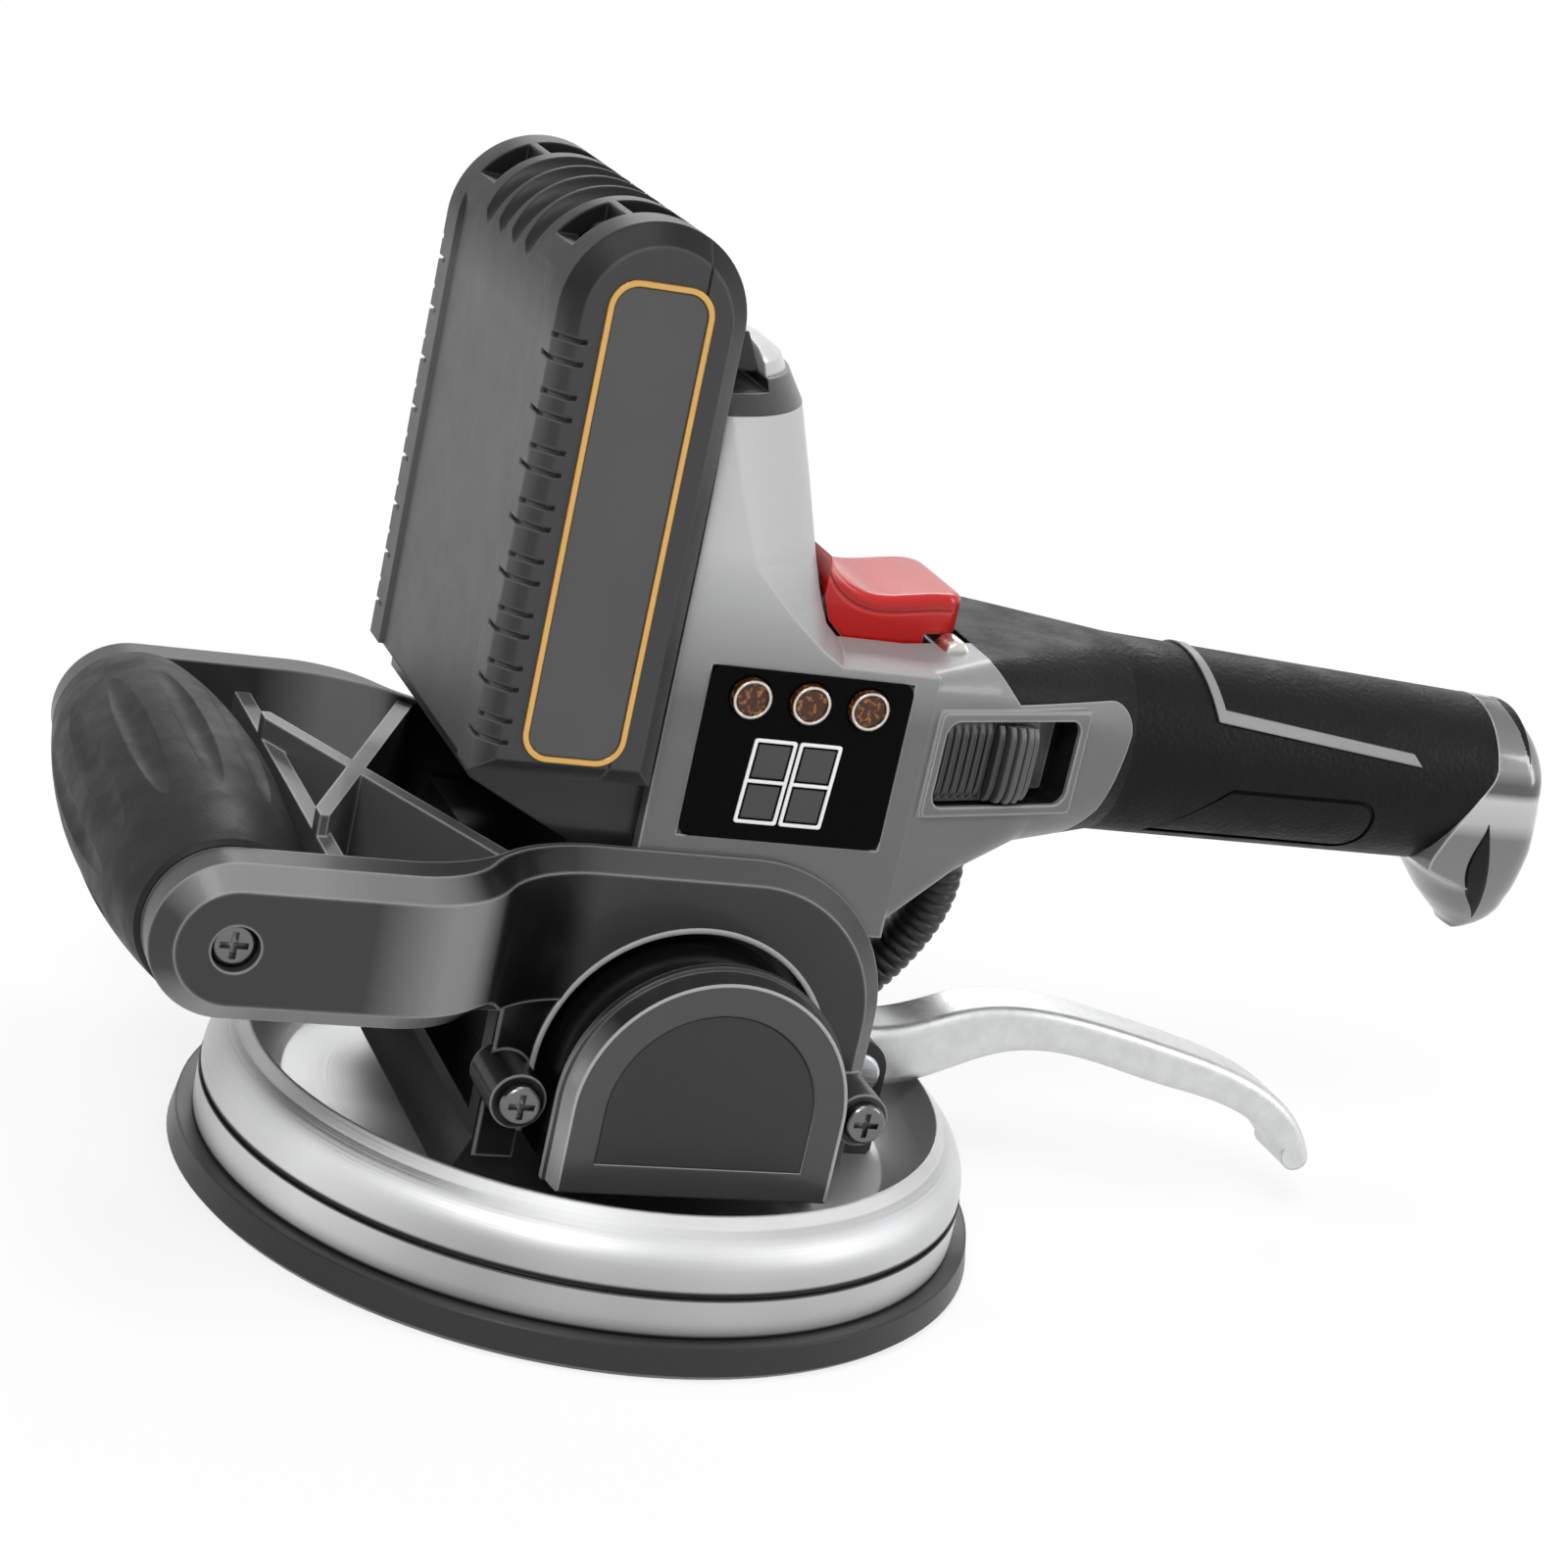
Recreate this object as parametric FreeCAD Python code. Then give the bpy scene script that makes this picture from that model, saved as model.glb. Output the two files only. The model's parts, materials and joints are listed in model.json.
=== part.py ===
"""Battery-powered floor tile suction lifter with a vibration motor.

Frame: the origin is the centre of the suction pad's underside, on the tile.
+Z is up, +X runs towards the rear handle, and the left side is -Y.
All lengths are millimetres.
"""
import FreeCAD, Part
import math
import os

V = FreeCAD.Vector
X_AXIS = V(1, 0, 0)
Y_AXIS = V(0, 1, 0)
Z_AXIS = V(0, 0, 1)

# ---------------------------------------------------------------- clearances
run_gap = 0.05          # radial gap of a pin or stem in its own bore
slide_gap = 0.3         # gap beside a button, slider or battery rail
seat_gap = 0.2          # gap under a part that rests on a stop

# ---------------------------------------------------------------- suction cup
pad_r = 76.0            # rubber suction pad
pad_t = 6.0
groove_count = 4        # ring grooves in the pad's underside
groove_first = 7.0      # from the pad's edge to the first groove
groove_pitch = 15.0
groove_w = 4.0
groove_depth = 1.5
pad_edge = 0.9          # how far the pad's top edge is drawn in
dish_r = 72.1           # metal cup, outside radius at its foot
dish_band_h = 7.6       # plain lower band of the cup
dish_groove = 0.9       # turned groove above the band
dish_rim_r = 64.85      # inner edge of the rolled rim
dish_shoulder_r = 66.8
dish_h = 20.0           # cup height above the pad
dish_bevel = 2.0        # bevel between the shoulder and the rim's inner edge
bowl_r = 57.0           # flat floor of the bowl
bowl_floor_h = 8.0      # floor height above the pad
dish_wall = 3.0

# ---------------------------------------------------------------- base and frames
base_x0 = -32.0
base_cover = 2.0        # the base block's top over the tunnel
base_clear = 3.9        # from the base block to the vent plunger's axis
frame_t = 4.7           # side frame at the arch
frame_bevel = 3.6
arch_x = 9.0            # centre of the arch's outside corner
arch_z = 50.3
arch_r = 29.0
leg_foot = 21.0         # underside of the frame's legs
arm_t = 10.3            # side frame at the front arms
arm_half = 58.0         # outer faces of the front arms
arm_end_x = -86.0
arm_end_z = 65.8
arm_r = 13.5
post_out = 4.0          # how far the front leg stands out past the base block
post_step = 1.5         # the front leg's face is set back below the arm
post_top = 52.0
boss_gap_front = 2.0    # between the screw bosses and the tunnel
boss_gap_rear = 3.0
boss_z = 36.5
brace_x0 = -67.5
brace_z0 = 58.0
brace_z1 = 78.0
brace_web = 2.0
rib_t = 3.0
bend_x1 = -20.0         # rear end of the frame's S-bend
bend_ratio = 1.81       # the bend's length by its depth

# ---------------------------------------------------------------- vibration unit
tunnel_x = 1.5
tunnel_z = 39.5
tunnel_r = 24.5
tunnel_bottom = 24.3
tunnel_half = 49.0
lip_gap = 2.3           # ring gap between the tunnel and the arch opening
cap_t = 6.0
cap_flange = 1.8        # how far the end cap's back edge stands out
cap_flange_t = 1.6
cap_margin = 5.4        # rim round the end cap's recess
cap_recess = 0.9
boss_r = 5.0
boss_out = 9.0
motor_r = 13.6
motor_wall = 1.6
motor_half = 25.0
shaft_r = 3.0
bearing_r = 7.5
bearing_t = 5.0
weight_r = 12.5
weight_t = 9.0
weight_gap = 1.5        # room round the spinning weights
weight_end = 2.0        # from the motor to a weight

# ---------------------------------------------------------------- front grip
grip_mid_r = 18.4
grip_end_r = 14.4
grip_bore_r = 8.0
screw_head_r = 3.8
screw_shank_r = 2.2
screw_sink = 4.0        # depth of the arm screws' counterbores
grip_flutes = 12
flute_r = 3.4
flute_depth = 1.5

# ---------------------------------------------------------------- housing
half_w = 32.3           # side faces of the housing
body_x0 = -13.0
body_x1 = 36.0
body_top = 115.3
shell_t = 5.0
room_floor = 4.0        # inside of the housing, above the base block
room_wall = 3.0         # and from its front and rear
neck_x = 50.0
neck_z0 = 76.0
root_x = 84.0           # where the neck has become the round handle
grip_r = 18.7           # rear handle at its root
grip_z = 98.8
tail_x = 166.0
tail_r = 16.4
tail_z = 96.6
rubber_t = 2.6
ring_x = 97.5           # raised ring over the rubber
ring_rise = 0.5
inlay_x1 = 145.0        # rear end of the inlay line
groove_x0 = 94.0        # oval groove
groove_x1 = 140.0
groove_z = 83.5
groove_h = 12.0
groove_deep = 0.8
tower_drop = 31.1       # the tower's top below the battery's
tower_crease = 1.0      # the tower at its top: flat side, depth and draft
tower_depth = 22.6
tower_draft = 1.2
cap_rise = 5.0          # black collar on the tower
dome_rise = 4.6         # dome above the collar
seam_x = 157.5          # seam between the rubber and the end cap, at the handle's underside
seam_sweep = 15.0       # how far it sweeps back
seam_knee = -1.0        # height of its knee above the handle's axis
seam_bend = 4.0         # half length of the knee
hook_drop = 66.0        # lowest point of the end cap's hook
hook_back = 187.0       # rearmost point of the end cap

# ---------------------------------------------------------------- controls
panel_x0 = -6.6
panel_x1 = 31.3
panel_gap = 3.1         # the panel's foot above the arch
panel_z1 = 113.5
panel_t = 1.3
panel_proud = 0.3
button_r = 3.6
button_pitch = 11.0
button_z = 108.3
button_proud = 1.2
button_travel = 0.8
button_well = 4.0
digit_w = 8.0
digit_h = 15.6
digit_line = 1.1
switch_x = 54.5
switch_z = 99.3
switch_w = 32.0
switch_h = 16.6
switch_depth = 6.0
slider_w = 23.0
bezel_rise = 0.5
paddle_x0 = 19.5
paddle_x1 = 47.0
paddle_half = 12.4
paddle_top = 124.6
paddle_t = 7.4
paddle_crown = 4.6      # its rise against the tower
paddle_groove = 2.6     # line round its side, below the top
well_floor = 104.0
paddle_pin_x = 44.5
paddle_pin_z = 111.8
paddle_pin_r = 2.6
paddle_hinge_x = 23.5
paddle_hinge_z = 112.5

# ---------------------------------------------------------------- battery
batt_x1 = -15.0         # rear face, towards the tower
batt_t = 32.2
batt_half = 40.0
batt_z0 = 92.0
batt_top = 187.1
batt_bevel = 3.6
batt_wall = 3.0
batt_seam_x = -24.0
seam_w = 0.5            # groove along the seam of its two shells
batt_recess = 0.8
valley_count = 4        # finger valleys over the crown
valley_pitch = 8.4
valley_r = 3.9
valley_depth = 3.0
pocket_y = 20.0         # crown pockets, from the middle outwards
pocket_w = 9.5
pocket_depth = 3.0
trim_w = 1.1            # gold border line on the pack's ends
trim_edge = 7.0         # from the pack's front and rear faces
trim_foot = 3.8
trim_head = 9.2
trim_corner = 5.0
trim_proud = 0.3
batt_band = 10.5        # ribbed band at each end of the front face
rib_count = 16          # notches across each front bevel
rib_first = 6.0
rib_pitch = 4.6
rib_pair = -0.9         # shift of every second notch
rib_w = 0.9
rib_deep = 1.0
rib_long = 4.0          # length of the long notches on the front face
rail_half = 12.0
rail_lip = 3.0
rail_t = 2.3
rail_start = 9.0        # rail's foot above the pack's foot
rail_drop = 6.0         # rail's top below the tower's
dock_t = 1.7
cell_r = 10.5
cell_gap = 0.3
latch_x1 = -4.0
latch_half = 18.0
latch_rise = 5.3        # latch above the tower's top
latch_h = 6.6
latch_press = 1.5
latch_tongue = 3.0

# ---------------------------------------------------------------- vacuum lever
pump_r = 9.0            # vacuum pump in the housing
pump_len = 22.0
pump_head = 12.0
pump_y = 6.0
outlet_r = 2.2

lever_over = 5.0        # the lever's pin above the cup's rim
lever_set = 9.0         # and in front of the bracket's rear end
lever_hub_r = 6.4
lever_half = 6.0
lever_reach = 107.2     # from the pin to the lever's tip
lever_rise = 11.5       # highest point above the pin
lever_round = 2.0       # rounding of its long edges
pin_r = 3.0
bracket_in = 1.5        # bracket's rear end inside the bowl's edge
bracket_half = 12.5
bracket_foot = 6.0
ear_r = 6.5
nose_x = 8.6            # nose centre in front of the pin
nose_drop = 1.2
nose_r = 2.0
nose_half = 2.6
plunger_r = 1.8
plunger_cap_r = 2.2
plunger_head_r = 4.5
board_t = 1.6           # circuit board behind the buttons
board_low = 8.0         # from the base frame to its lower edge
board_high = 6.0        # from its upper edge to the display's well
board_in = 3.3          # from its rear edge to the plug
chip_w = 10.0
chip_t = 1.6
chip_in = 6.0
plug_w = 8.0
plug_h = 6.0
plug_t = 4.4
plug_in = 4.0
hose_r = 4.8
hose_x = 62.0
hose_side = 6.7         # from the base frame to the hose's lower end
nipple_t = 1.0          # wall of the collars on its ends
nipple_len = 5.0        # upper collar
foot_len = 12.0         # lower collar, before it is cut level

# ---------------------------------------------------------------- derived
pad_top = pad_t
dish_top = pad_t + dish_h
floor_z = pad_t + bowl_floor_h
arch_out = half_w + frame_t
arm_in = arm_half - arm_t
bend_x0 = bend_x1 - bend_ratio * (arm_half - arch_out)
lip_r = tunnel_r + lip_gap
cap_face = tunnel_half + cap_t
batt_x0 = batt_x1 - batt_t
batt_r = batt_t / 2
batt_cx = (batt_x0 + batt_x1) / 2
batt_cz = batt_top - batt_r
tower_top = batt_top - tower_drop
rail_z0 = batt_z0 + rail_start
rail_z1 = tower_top - rail_drop
latch_z0 = tower_top + latch_rise
neck_slope = (half_w - grip_r) / (root_x - body_x1)
neck_angle = math.degrees(math.atan(neck_slope))
bracket_x1 = bowl_r - bracket_in
lever_x = bracket_x1 - lever_set
lever_z = dish_top + lever_over
plunger_x = lever_x - nose_x
base_x1 = plunger_x - base_clear
base_top = tunnel_z + tunnel_r + base_cover
panel_z0 = arch_z + arch_r + panel_gap
plunger_top = lever_z - nose_drop - nose_r - slide_gap


# ---------------------------------------------------------------- helpers
def box(x0, x1, y0, y1, z0, z1):
    return Part.makeBox(x1 - x0, y1 - y0, z1 - z0, V(x0, y0, z0))


def cyl_y(r, y0, y1, x, z):
    return Part.makeCylinder(r, y1 - y0, V(x, y0, z), Y_AXIS)


def cyl_z(r, z0, z1, x=0.0, y=0.0):
    return Part.makeCylinder(r, z1 - z0, V(x, y, z0), Z_AXIS)


def poly(points):
    return Part.Face(Part.makePolygon([V(*p) for p in points] + [V(*points[0])]))


def prism_xz(points, y0, y1):
    """Polygon of (x, z) points, extruded from y0 to y1."""
    return poly([(x, y0, z) for x, z in points]).extrude(V(0, y1 - y0, 0))


def prism_xy(points, z0, z1):
    return poly([(x, y, z0) for x, y in points]).extrude(V(0, 0, z1 - z0))


def arc(a, m, b):
    return Part.Arc(V(*a), V(*m), V(*b)).toShape()


def line(a, b):
    return Part.LineSegment(V(*a), V(*b)).toShape()


def spline(points):
    curve = Part.BSplineCurve()
    curve.interpolate([V(*p) for p in points])
    return curve.toShape()


def revolve_z(points):
    """Solid of revolution about Z of a closed (r, z) polygon."""
    return poly([(r, 0, z) for r, z in points]).revolve(V(0, 0, 0), Z_AXIS, 360)


def middle(edge):
    """Point half way along an edge."""
    return edge.valueAt((edge.FirstParameter + edge.LastParameter) / 2)


def on_skin(edge, skin):
    """True for an edge that lies on the given surface."""
    return skin.distToShape(Part.Vertex(middle(edge)))[0] < 1e-3


def mirror_y(shape):
    return shape.mirror(V(0, 0, 0), Y_AXIS)


def fuse(*shapes):
    result = shapes[0]
    for other in shapes[1:]:
        result = result.fuse(other)
    return result.removeSplitter()


def solids(shape):
    """The solid, or a compound when several pieces share a node."""
    found = shape.Solids
    return found[0] if len(found) == 1 else Part.makeCompound(found)


def export(name, shape):
    shape = solids(shape)
    if not shape.isValid() or not shape.Solids:
        raise RuntimeError("bad shape: " + name)
    shape.exportStep("parts/" + name + ".step")


def d_section(r, bottom, y):
    """Closed D outline about the tunnel axis: round top, flat bottom."""
    left = tunnel_x - r
    right = tunnel_x + r
    return Part.Wire([
        line((left, y, bottom), (left, y, tunnel_z)),
        arc((left, y, tunnel_z), (tunnel_x, y, tunnel_z + r), (right, y, tunnel_z)),
        line((right, y, tunnel_z), (right, y, bottom)),
        line((right, y, bottom), (left, y, bottom)),
    ])


def d_prism(r, bottom, y0, y1):
    return Part.Face(d_section(r, bottom, y0)).extrude(V(0, y1 - y0, 0))


def rounded_section(x, half, z0, z1, r):
    """Rounded rectangle in the plane X = x, as four lines and four arcs."""
    k = r * (1 - math.sqrt(0.5))
    flat_y = half - r
    low = z0 + r
    high = z1 - r
    return Part.Wire([
        line((x, -flat_y, z0), (x, flat_y, z0)),
        arc((x, flat_y, z0), (x, half - k, z0 + k), (x, half, low)),
        line((x, half, low), (x, half, high)),
        arc((x, half, high), (x, half - k, z1 - k), (x, flat_y, z1)),
        line((x, flat_y, z1), (x, -flat_y, z1)),
        arc((x, -flat_y, z1), (x, -half + k, z1 - k), (x, -half, high)),
        line((x, -half, high), (x, -half, low)),
        arc((x, -half, low), (x, -half + k, z0 + k), (x, -flat_y, z0)),
    ])


# ---------------------------------------------------------------- suction cup
def suction_pad():
    """Rubber disc with a sealing lip and ring grooves underneath."""
    lip = 1.2
    pad = revolve_z([(0, 0), (pad_r - lip, 0), (pad_r, lip), (pad_r - pad_edge, pad_top), (0, pad_top)])
    for i in range(groove_count):
        r = pad_r - groove_first - i * groove_pitch
        ring = cyl_z(r, -1, groove_depth).cut(cyl_z(r - groove_w, -2, groove_depth + 1))
        pad = pad.cut(ring)
    return pad


def cup_dish():
    """Spun metal cup: plain band, turned groove, rounded shoulder, bevelled rim and bowl."""
    band = pad_top + dish_band_h
    groove_h = 0.7
    shoulder_z = dish_top - dish_bevel
    bulge_r = dish_r - 0.3
    cavity_r = dish_r - 2 * dish_wall
    ceiling = floor_z - dish_wall
    edges = [
        line((dish_r, 0, pad_top), (dish_r, 0, band)),
        line((dish_r, 0, band), (dish_r - dish_groove, 0, band)),
        line((dish_r - dish_groove, 0, band), (dish_r - dish_groove, 0, band + groove_h)),
        line((dish_r - dish_groove, 0, band + groove_h), (bulge_r, 0, band + groove_h)),
        arc((bulge_r, 0, band + groove_h),
            (bulge_r - 1.2, 0, (band + shoulder_z) / 2 + 1.2), (dish_shoulder_r, 0, shoulder_z)),
        line((dish_shoulder_r, 0, shoulder_z), (dish_rim_r, 0, dish_top)),
        arc((dish_rim_r, 0, dish_top), ((dish_rim_r + bowl_r) / 2 + 1.4, 0, (dish_top + floor_z) / 2 - 1.6),
            (bowl_r, 0, floor_z)),
        line((bowl_r, 0, floor_z), (0, 0, floor_z)),
        line((0, 0, floor_z), (0, 0, ceiling)),
        line((0, 0, ceiling), (bowl_r, 0, ceiling)),
        line((bowl_r, 0, ceiling), (cavity_r, 0, pad_top)),
        line((cavity_r, 0, pad_top), (dish_r, 0, pad_top)),
    ]
    dish = Part.Face(Part.Wire(edges)).revolve(V(0, 0, 0), Z_AXIS, 360)
    return dish.cut(cyl_z(plunger_r + 1.0, ceiling - 1, floor_z + 1, plunger_x))


# ---------------------------------------------------------------- base and side frames
def base_frame():
    """Moulded block on the bowl's floor that carries the vibration unit and the housing."""
    block = box(base_x0, base_x1, -half_w, half_w, floor_z, base_top)
    foot = prism_xz([(base_x0 - 4, floor_z), (base_x0, floor_z + 9), (base_x0, floor_z)], -half_w, half_w)
    pocket_depth = 9.0
    pocket = box(base_x0 - 1, base_x0 + pocket_depth, -half_w + 5, half_w - 5, floor_z + 12, base_top - 6)
    tunnel = d_prism(tunnel_r, tunnel_bottom, -half_w - 1, half_w + 1)
    return fuse(block, foot).cut(pocket.fuse(tunnel))


def bend_edges(arm_y, arch_y):
    """One face of a side frame in plan: straight arm, S-bend inwards, straight arch plate."""
    depth = arch_y - arm_y
    mid_x = (bend_x0 + bend_x1) / 2
    run = mid_x - bend_x0
    radius = (run ** 2 + (depth / 2) ** 2) / depth
    half_turn = math.asin(run / radius) / 2
    sag_x = radius * math.sin(half_turn)
    sag_y = radius * (1 - math.cos(half_turn))
    turn = (mid_x, (arm_y + arch_y) / 2, 0)
    start = (arm_end_x - 2 * arm_r, arm_y, 0)
    end = (arch_x + 2 * arch_r, arch_y, 0)
    return start, end, [
        line(start, (bend_x0, arm_y, 0)),
        arc((bend_x0, arm_y, 0), (bend_x0 + sag_x, arm_y + sag_y, 0), turn),
        arc(turn, (bend_x1 - sag_x, arch_y - sag_y, 0), (bend_x1, arch_y, 0)),
        line((bend_x1, arch_y, 0), end),
    ]


def lip_opening(y0, y1):
    """D-shaped opening of the arch, a ring gap larger than the tunnel."""
    return d_prism(lip_r, leg_foot - 1, y0, y1)


def frame_outline():
    """Side view of a frame without its opening: arm with a round end, arch and legs."""
    top = arch_z + arch_r
    low = arm_end_z - arm_r
    right = arch_x + arch_r
    left = base_x0 - post_out
    corner = 7.0
    diag = math.sqrt(0.5)
    corner_x = left - corner
    corner_z = low - corner
    return Part.Face(Part.Wire([
        arc((arm_end_x, 0, low), (arm_end_x - arm_r, 0, arm_end_z), (arm_end_x, 0, arm_end_z + arm_r)),
        line((arm_end_x, 0, arm_end_z + arm_r), (arch_x, 0, top)),
        arc((arch_x, 0, top), (arch_x + arch_r * diag, 0, arch_z + arch_r * diag), (right, 0, arch_z)),
        line((right, 0, arch_z), (right, 0, leg_foot)),
        line((right, 0, leg_foot), (left, 0, leg_foot)),
        line((left, 0, leg_foot), (left, 0, corner_z)),
        arc((left, 0, corner_z), (corner_x + corner * diag, 0, corner_z + corner * diag), (corner_x, 0, low)),
        line((corner_x, 0, low), (arm_end_x, 0, low)),
    ]))


def side_frame():
    """Left frame: arm and arch in one bent plate with a bevelled outer edge."""
    height = arch_z + 2 * arch_r
    out_start, out_end, outside = bend_edges(-arm_half, -arch_out)
    in_start, in_end, inside = bend_edges(-arm_in, -half_w)
    ends = [line(out_start, in_start), line(out_end, in_end)]
    plan = Part.Wire(Part.__sortEdges__(outside + inside + ends))
    outline = frame_outline()
    outline.translate(V(0, -arm_half - 5, 0))
    frame = Part.Face(plan).extrude(V(0, 0, height)).common(outline.extrude(V(0, arm_half, 0)))
    skin = Part.Wire(Part.__sortEdges__(outside)).extrude(V(0, 0, height))
    bevelled = [e for e in frame.Edges if on_skin(e, skin) and middle(e).z > leg_foot + 1]
    frame = frame.makeChamfer(frame_bevel, bevelled)
    step = box(base_x0 - 2 * post_out, tunnel_x, -arm_half, -arch_out + post_step, leg_foot - 1, post_top)
    opening = lip_opening(-arm_half, 0)
    bosses = fuse(*[cyl_y(boss_r, -arch_out - boss_out, -half_w, x, boss_z) for x in boss_xs()])
    screw_hole = cyl_y(screw_shank_r, -arm_half - 1, -arm_in + 1, arm_end_x, arm_end_z)
    counterbore = cyl_y(screw_head_r + 0.2, -arm_half - 1, -arm_half + screw_sink, arm_end_x, arm_end_z)
    boss_holes = [cyl_y(screw_shank_r, -arch_out - boss_out - 1, -half_w + 1, x, boss_z) for x in boss_xs()]
    frame = fuse(frame.cut(step).cut(opening), bosses)
    return frame.cut(Part.makeCompound([screw_hole, counterbore] + boss_holes))


def boss_xs():
    """Places of the two screw bosses, on the frame's legs."""
    return (tunnel_x - tunnel_r - boss_r - boss_gap_front, tunnel_x + tunnel_r + boss_r + boss_gap_rear)


def pan_screw(x, z, y_seat, length):
    """Pan-head screw along Y with its head's seat at y_seat and a cross recess."""
    head_h = 2.4
    head = cyl_y(screw_head_r, y_seat - head_h, y_seat, x, z)
    head = head.makeFillet(0.9, [e for e in head.Edges if abs(middle(e).y - y_seat + head_h) < 0.01])
    shank = cyl_y(screw_shank_r, y_seat, y_seat + length, x, z)
    bar = box(x - 2.3, x + 2.3, y_seat - head_h - 1, y_seat - 1, z - 0.5, z + 0.5)
    cross = bar.fuse(box(x - 0.5, x + 0.5, y_seat - head_h - 1, y_seat - 1, z - 2.3, z + 2.3))
    return fuse(head, shank).cut(cross)


def frame_screws():
    found = [pan_screw(x, boss_z, -arch_out - boss_out, boss_out + frame_t) for x in boss_xs()]
    return Part.makeCompound(found + [mirror_y(s) for s in found])


def between_arms(z0, z1):
    """Space between the inner faces of the two side frames."""
    start, end, inside = bend_edges(-arm_in, -half_w)
    far = [mirror_y(edge) for edge in inside]
    ends = [line(start, (start[0], -start[1], 0)), line(end, (end[0], -end[1], 0))]
    plan = Part.Face(Part.Wire(Part.__sortEdges__(inside + far + ends)))
    plan.translate(V(0, 0, z0))
    return plan.extrude(V(0, 0, z1 - z0))


def cross_brace():
    """X of two ribs on a thin web between the front arms."""
    front = brace_x0
    back = base_x0
    reach = arm_in
    web = box(front, back, -reach, reach, brace_z0, brace_z0 + brace_web)
    bar = box(front, front + rib_t, -reach, reach, brace_z0, brace_z1 - 4)
    ribs = []
    for side in (-1, 1):
        far_y = side * (arm_in - 6)
        near_y = -side * (arm_in - 22)
        run = math.hypot(back - front, far_y - near_y)
        wide = rib_t / 2 * run / abs(far_y - near_y)
        plan = [(front - wide, near_y), (front + wide, near_y),
                (back + wide - 4, far_y), (back - wide - 4, far_y)]
        ribs.append(prism_xy(plan, brace_z0, brace_z1))
    brace = fuse(web, bar, *ribs)
    return brace.common(between_arms(brace_z0, brace_z1)).common(box(front, back, -reach, reach, 0, brace_z1))


# ---------------------------------------------------------------- vibration unit
def vibrator_case():
    """D-section tunnel through both arches; its bore holds the motor."""
    tube = d_prism(tunnel_r, tunnel_bottom, -tunnel_half, tunnel_half)
    bore = cyl_y(motor_r, -motor_half, motor_half, tunnel_x, tunnel_z)
    room = cyl_y(weight_r + weight_gap, -tunnel_half, -motor_half, tunnel_x, tunnel_z)
    return tube.cut(fuse(bore, room, mirror_y(room)))


def end_cap():
    """Left end cap: tapered D with a recessed field."""
    back = Part.Face(d_section(tunnel_r + cap_flange, tunnel_bottom, -tunnel_half))
    front = d_section(tunnel_r + 0.4, tunnel_bottom, -cap_face)
    step_y = -tunnel_half - cap_flange_t
    flange = back.extrude(V(0, -cap_flange_t, 0))
    body = Part.makeLoft([d_section(tunnel_r + cap_flange - 0.7, tunnel_bottom, step_y), front], True)
    field = d_prism(tunnel_r - cap_margin, tunnel_bottom + cap_margin, -cap_face - 1, -cap_face + cap_recess)
    inner = -tunnel_half
    pilot_r = weight_r + weight_gap - run_gap
    pilot = cyl_y(pilot_r, inner, inner + 2.0, tunnel_x, tunnel_z)
    pilot = pilot.cut(cyl_y(pilot_r - 3.0, inner, inner + 3.0, tunnel_x, tunnel_z))
    seat = cyl_y(bearing_r + 2.2, inner, inner + bearing_t, tunnel_x, tunnel_z)
    seat = seat.cut(cyl_y(bearing_r, inner, inner + bearing_t + 1, tunnel_x, tunnel_z))
    return fuse(flange, body, pilot, seat).cut(field)


def cap_panel():
    inset = cap_margin + seat_gap
    return d_prism(tunnel_r - inset, tunnel_bottom + inset, -cap_face + seat_gap, -cap_face + cap_recess)


def motor_can():
    """Steel motor case, open towards the rotor, with a shaft hole at each end."""
    can = cyl_y(motor_r, -motor_half, motor_half, tunnel_x, tunnel_z)
    room = cyl_y(motor_r - motor_wall, -motor_half + motor_wall, motor_half - motor_wall, tunnel_x, tunnel_z)
    hole = cyl_y(shaft_r + 0.6, -motor_half - 1, motor_half + 1, tunnel_x, tunnel_z)
    return can.cut(room.fuse(hole))


def motor_bearings():
    """Ball bearings in the end caps, each drawn as one ring on the shaft."""
    ring = cyl_y(bearing_r, -tunnel_half, -tunnel_half + bearing_t, tunnel_x, tunnel_z)
    ring = ring.cut(cyl_y(shaft_r + run_gap, -tunnel_half - 1, 0, tunnel_x, tunnel_z))
    return Part.makeCompound([ring, mirror_y(ring)])


def motor_shaft():
    return cyl_y(shaft_r, -tunnel_half + 0.5, tunnel_half - 0.5, tunnel_x, tunnel_z)


def rotor_core():
    """Laminated rotor with slots, on the shaft between the weights."""
    half = motor_half - motor_wall - 3.0
    r = motor_r - motor_wall - 0.8
    core = cyl_y(r, -half, half, tunnel_x, tunnel_z)
    slot = box(tunnel_x - 1.0, tunnel_x + 1.0, -half - 1, half + 1, tunnel_z + r - 4.0, tunnel_z + r + 1)
    slots = []
    for i in range(8):
        one = slot.copy()
        one.rotate(V(tunnel_x, 0, tunnel_z), Y_AXIS, i * 45.0)
        slots.append(one)
    bore = cyl_y(shaft_r, -half - 1, half + 1, tunnel_x, tunnel_z)
    return core.cut(Part.makeCompound(slots + [bore]))


def eccentric_weight():
    """Left half-round weight, clamped on the shaft outside the motor."""
    y1 = -motor_half - weight_end
    y0 = y1 - weight_t
    disc = cyl_y(weight_r, y0, y1, tunnel_x, tunnel_z)
    over = weight_r + 1
    lower = box(tunnel_x - over, tunnel_x + over, y0 - 1, y1 + 1, tunnel_z - over, tunnel_z)
    hub = cyl_y(shaft_r + 3.5, y0, y1, tunnel_x, tunnel_z)
    return fuse(disc.common(lower), hub).cut(cyl_y(shaft_r, y0 - 1, y1 + 1, tunnel_x, tunnel_z))


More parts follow.
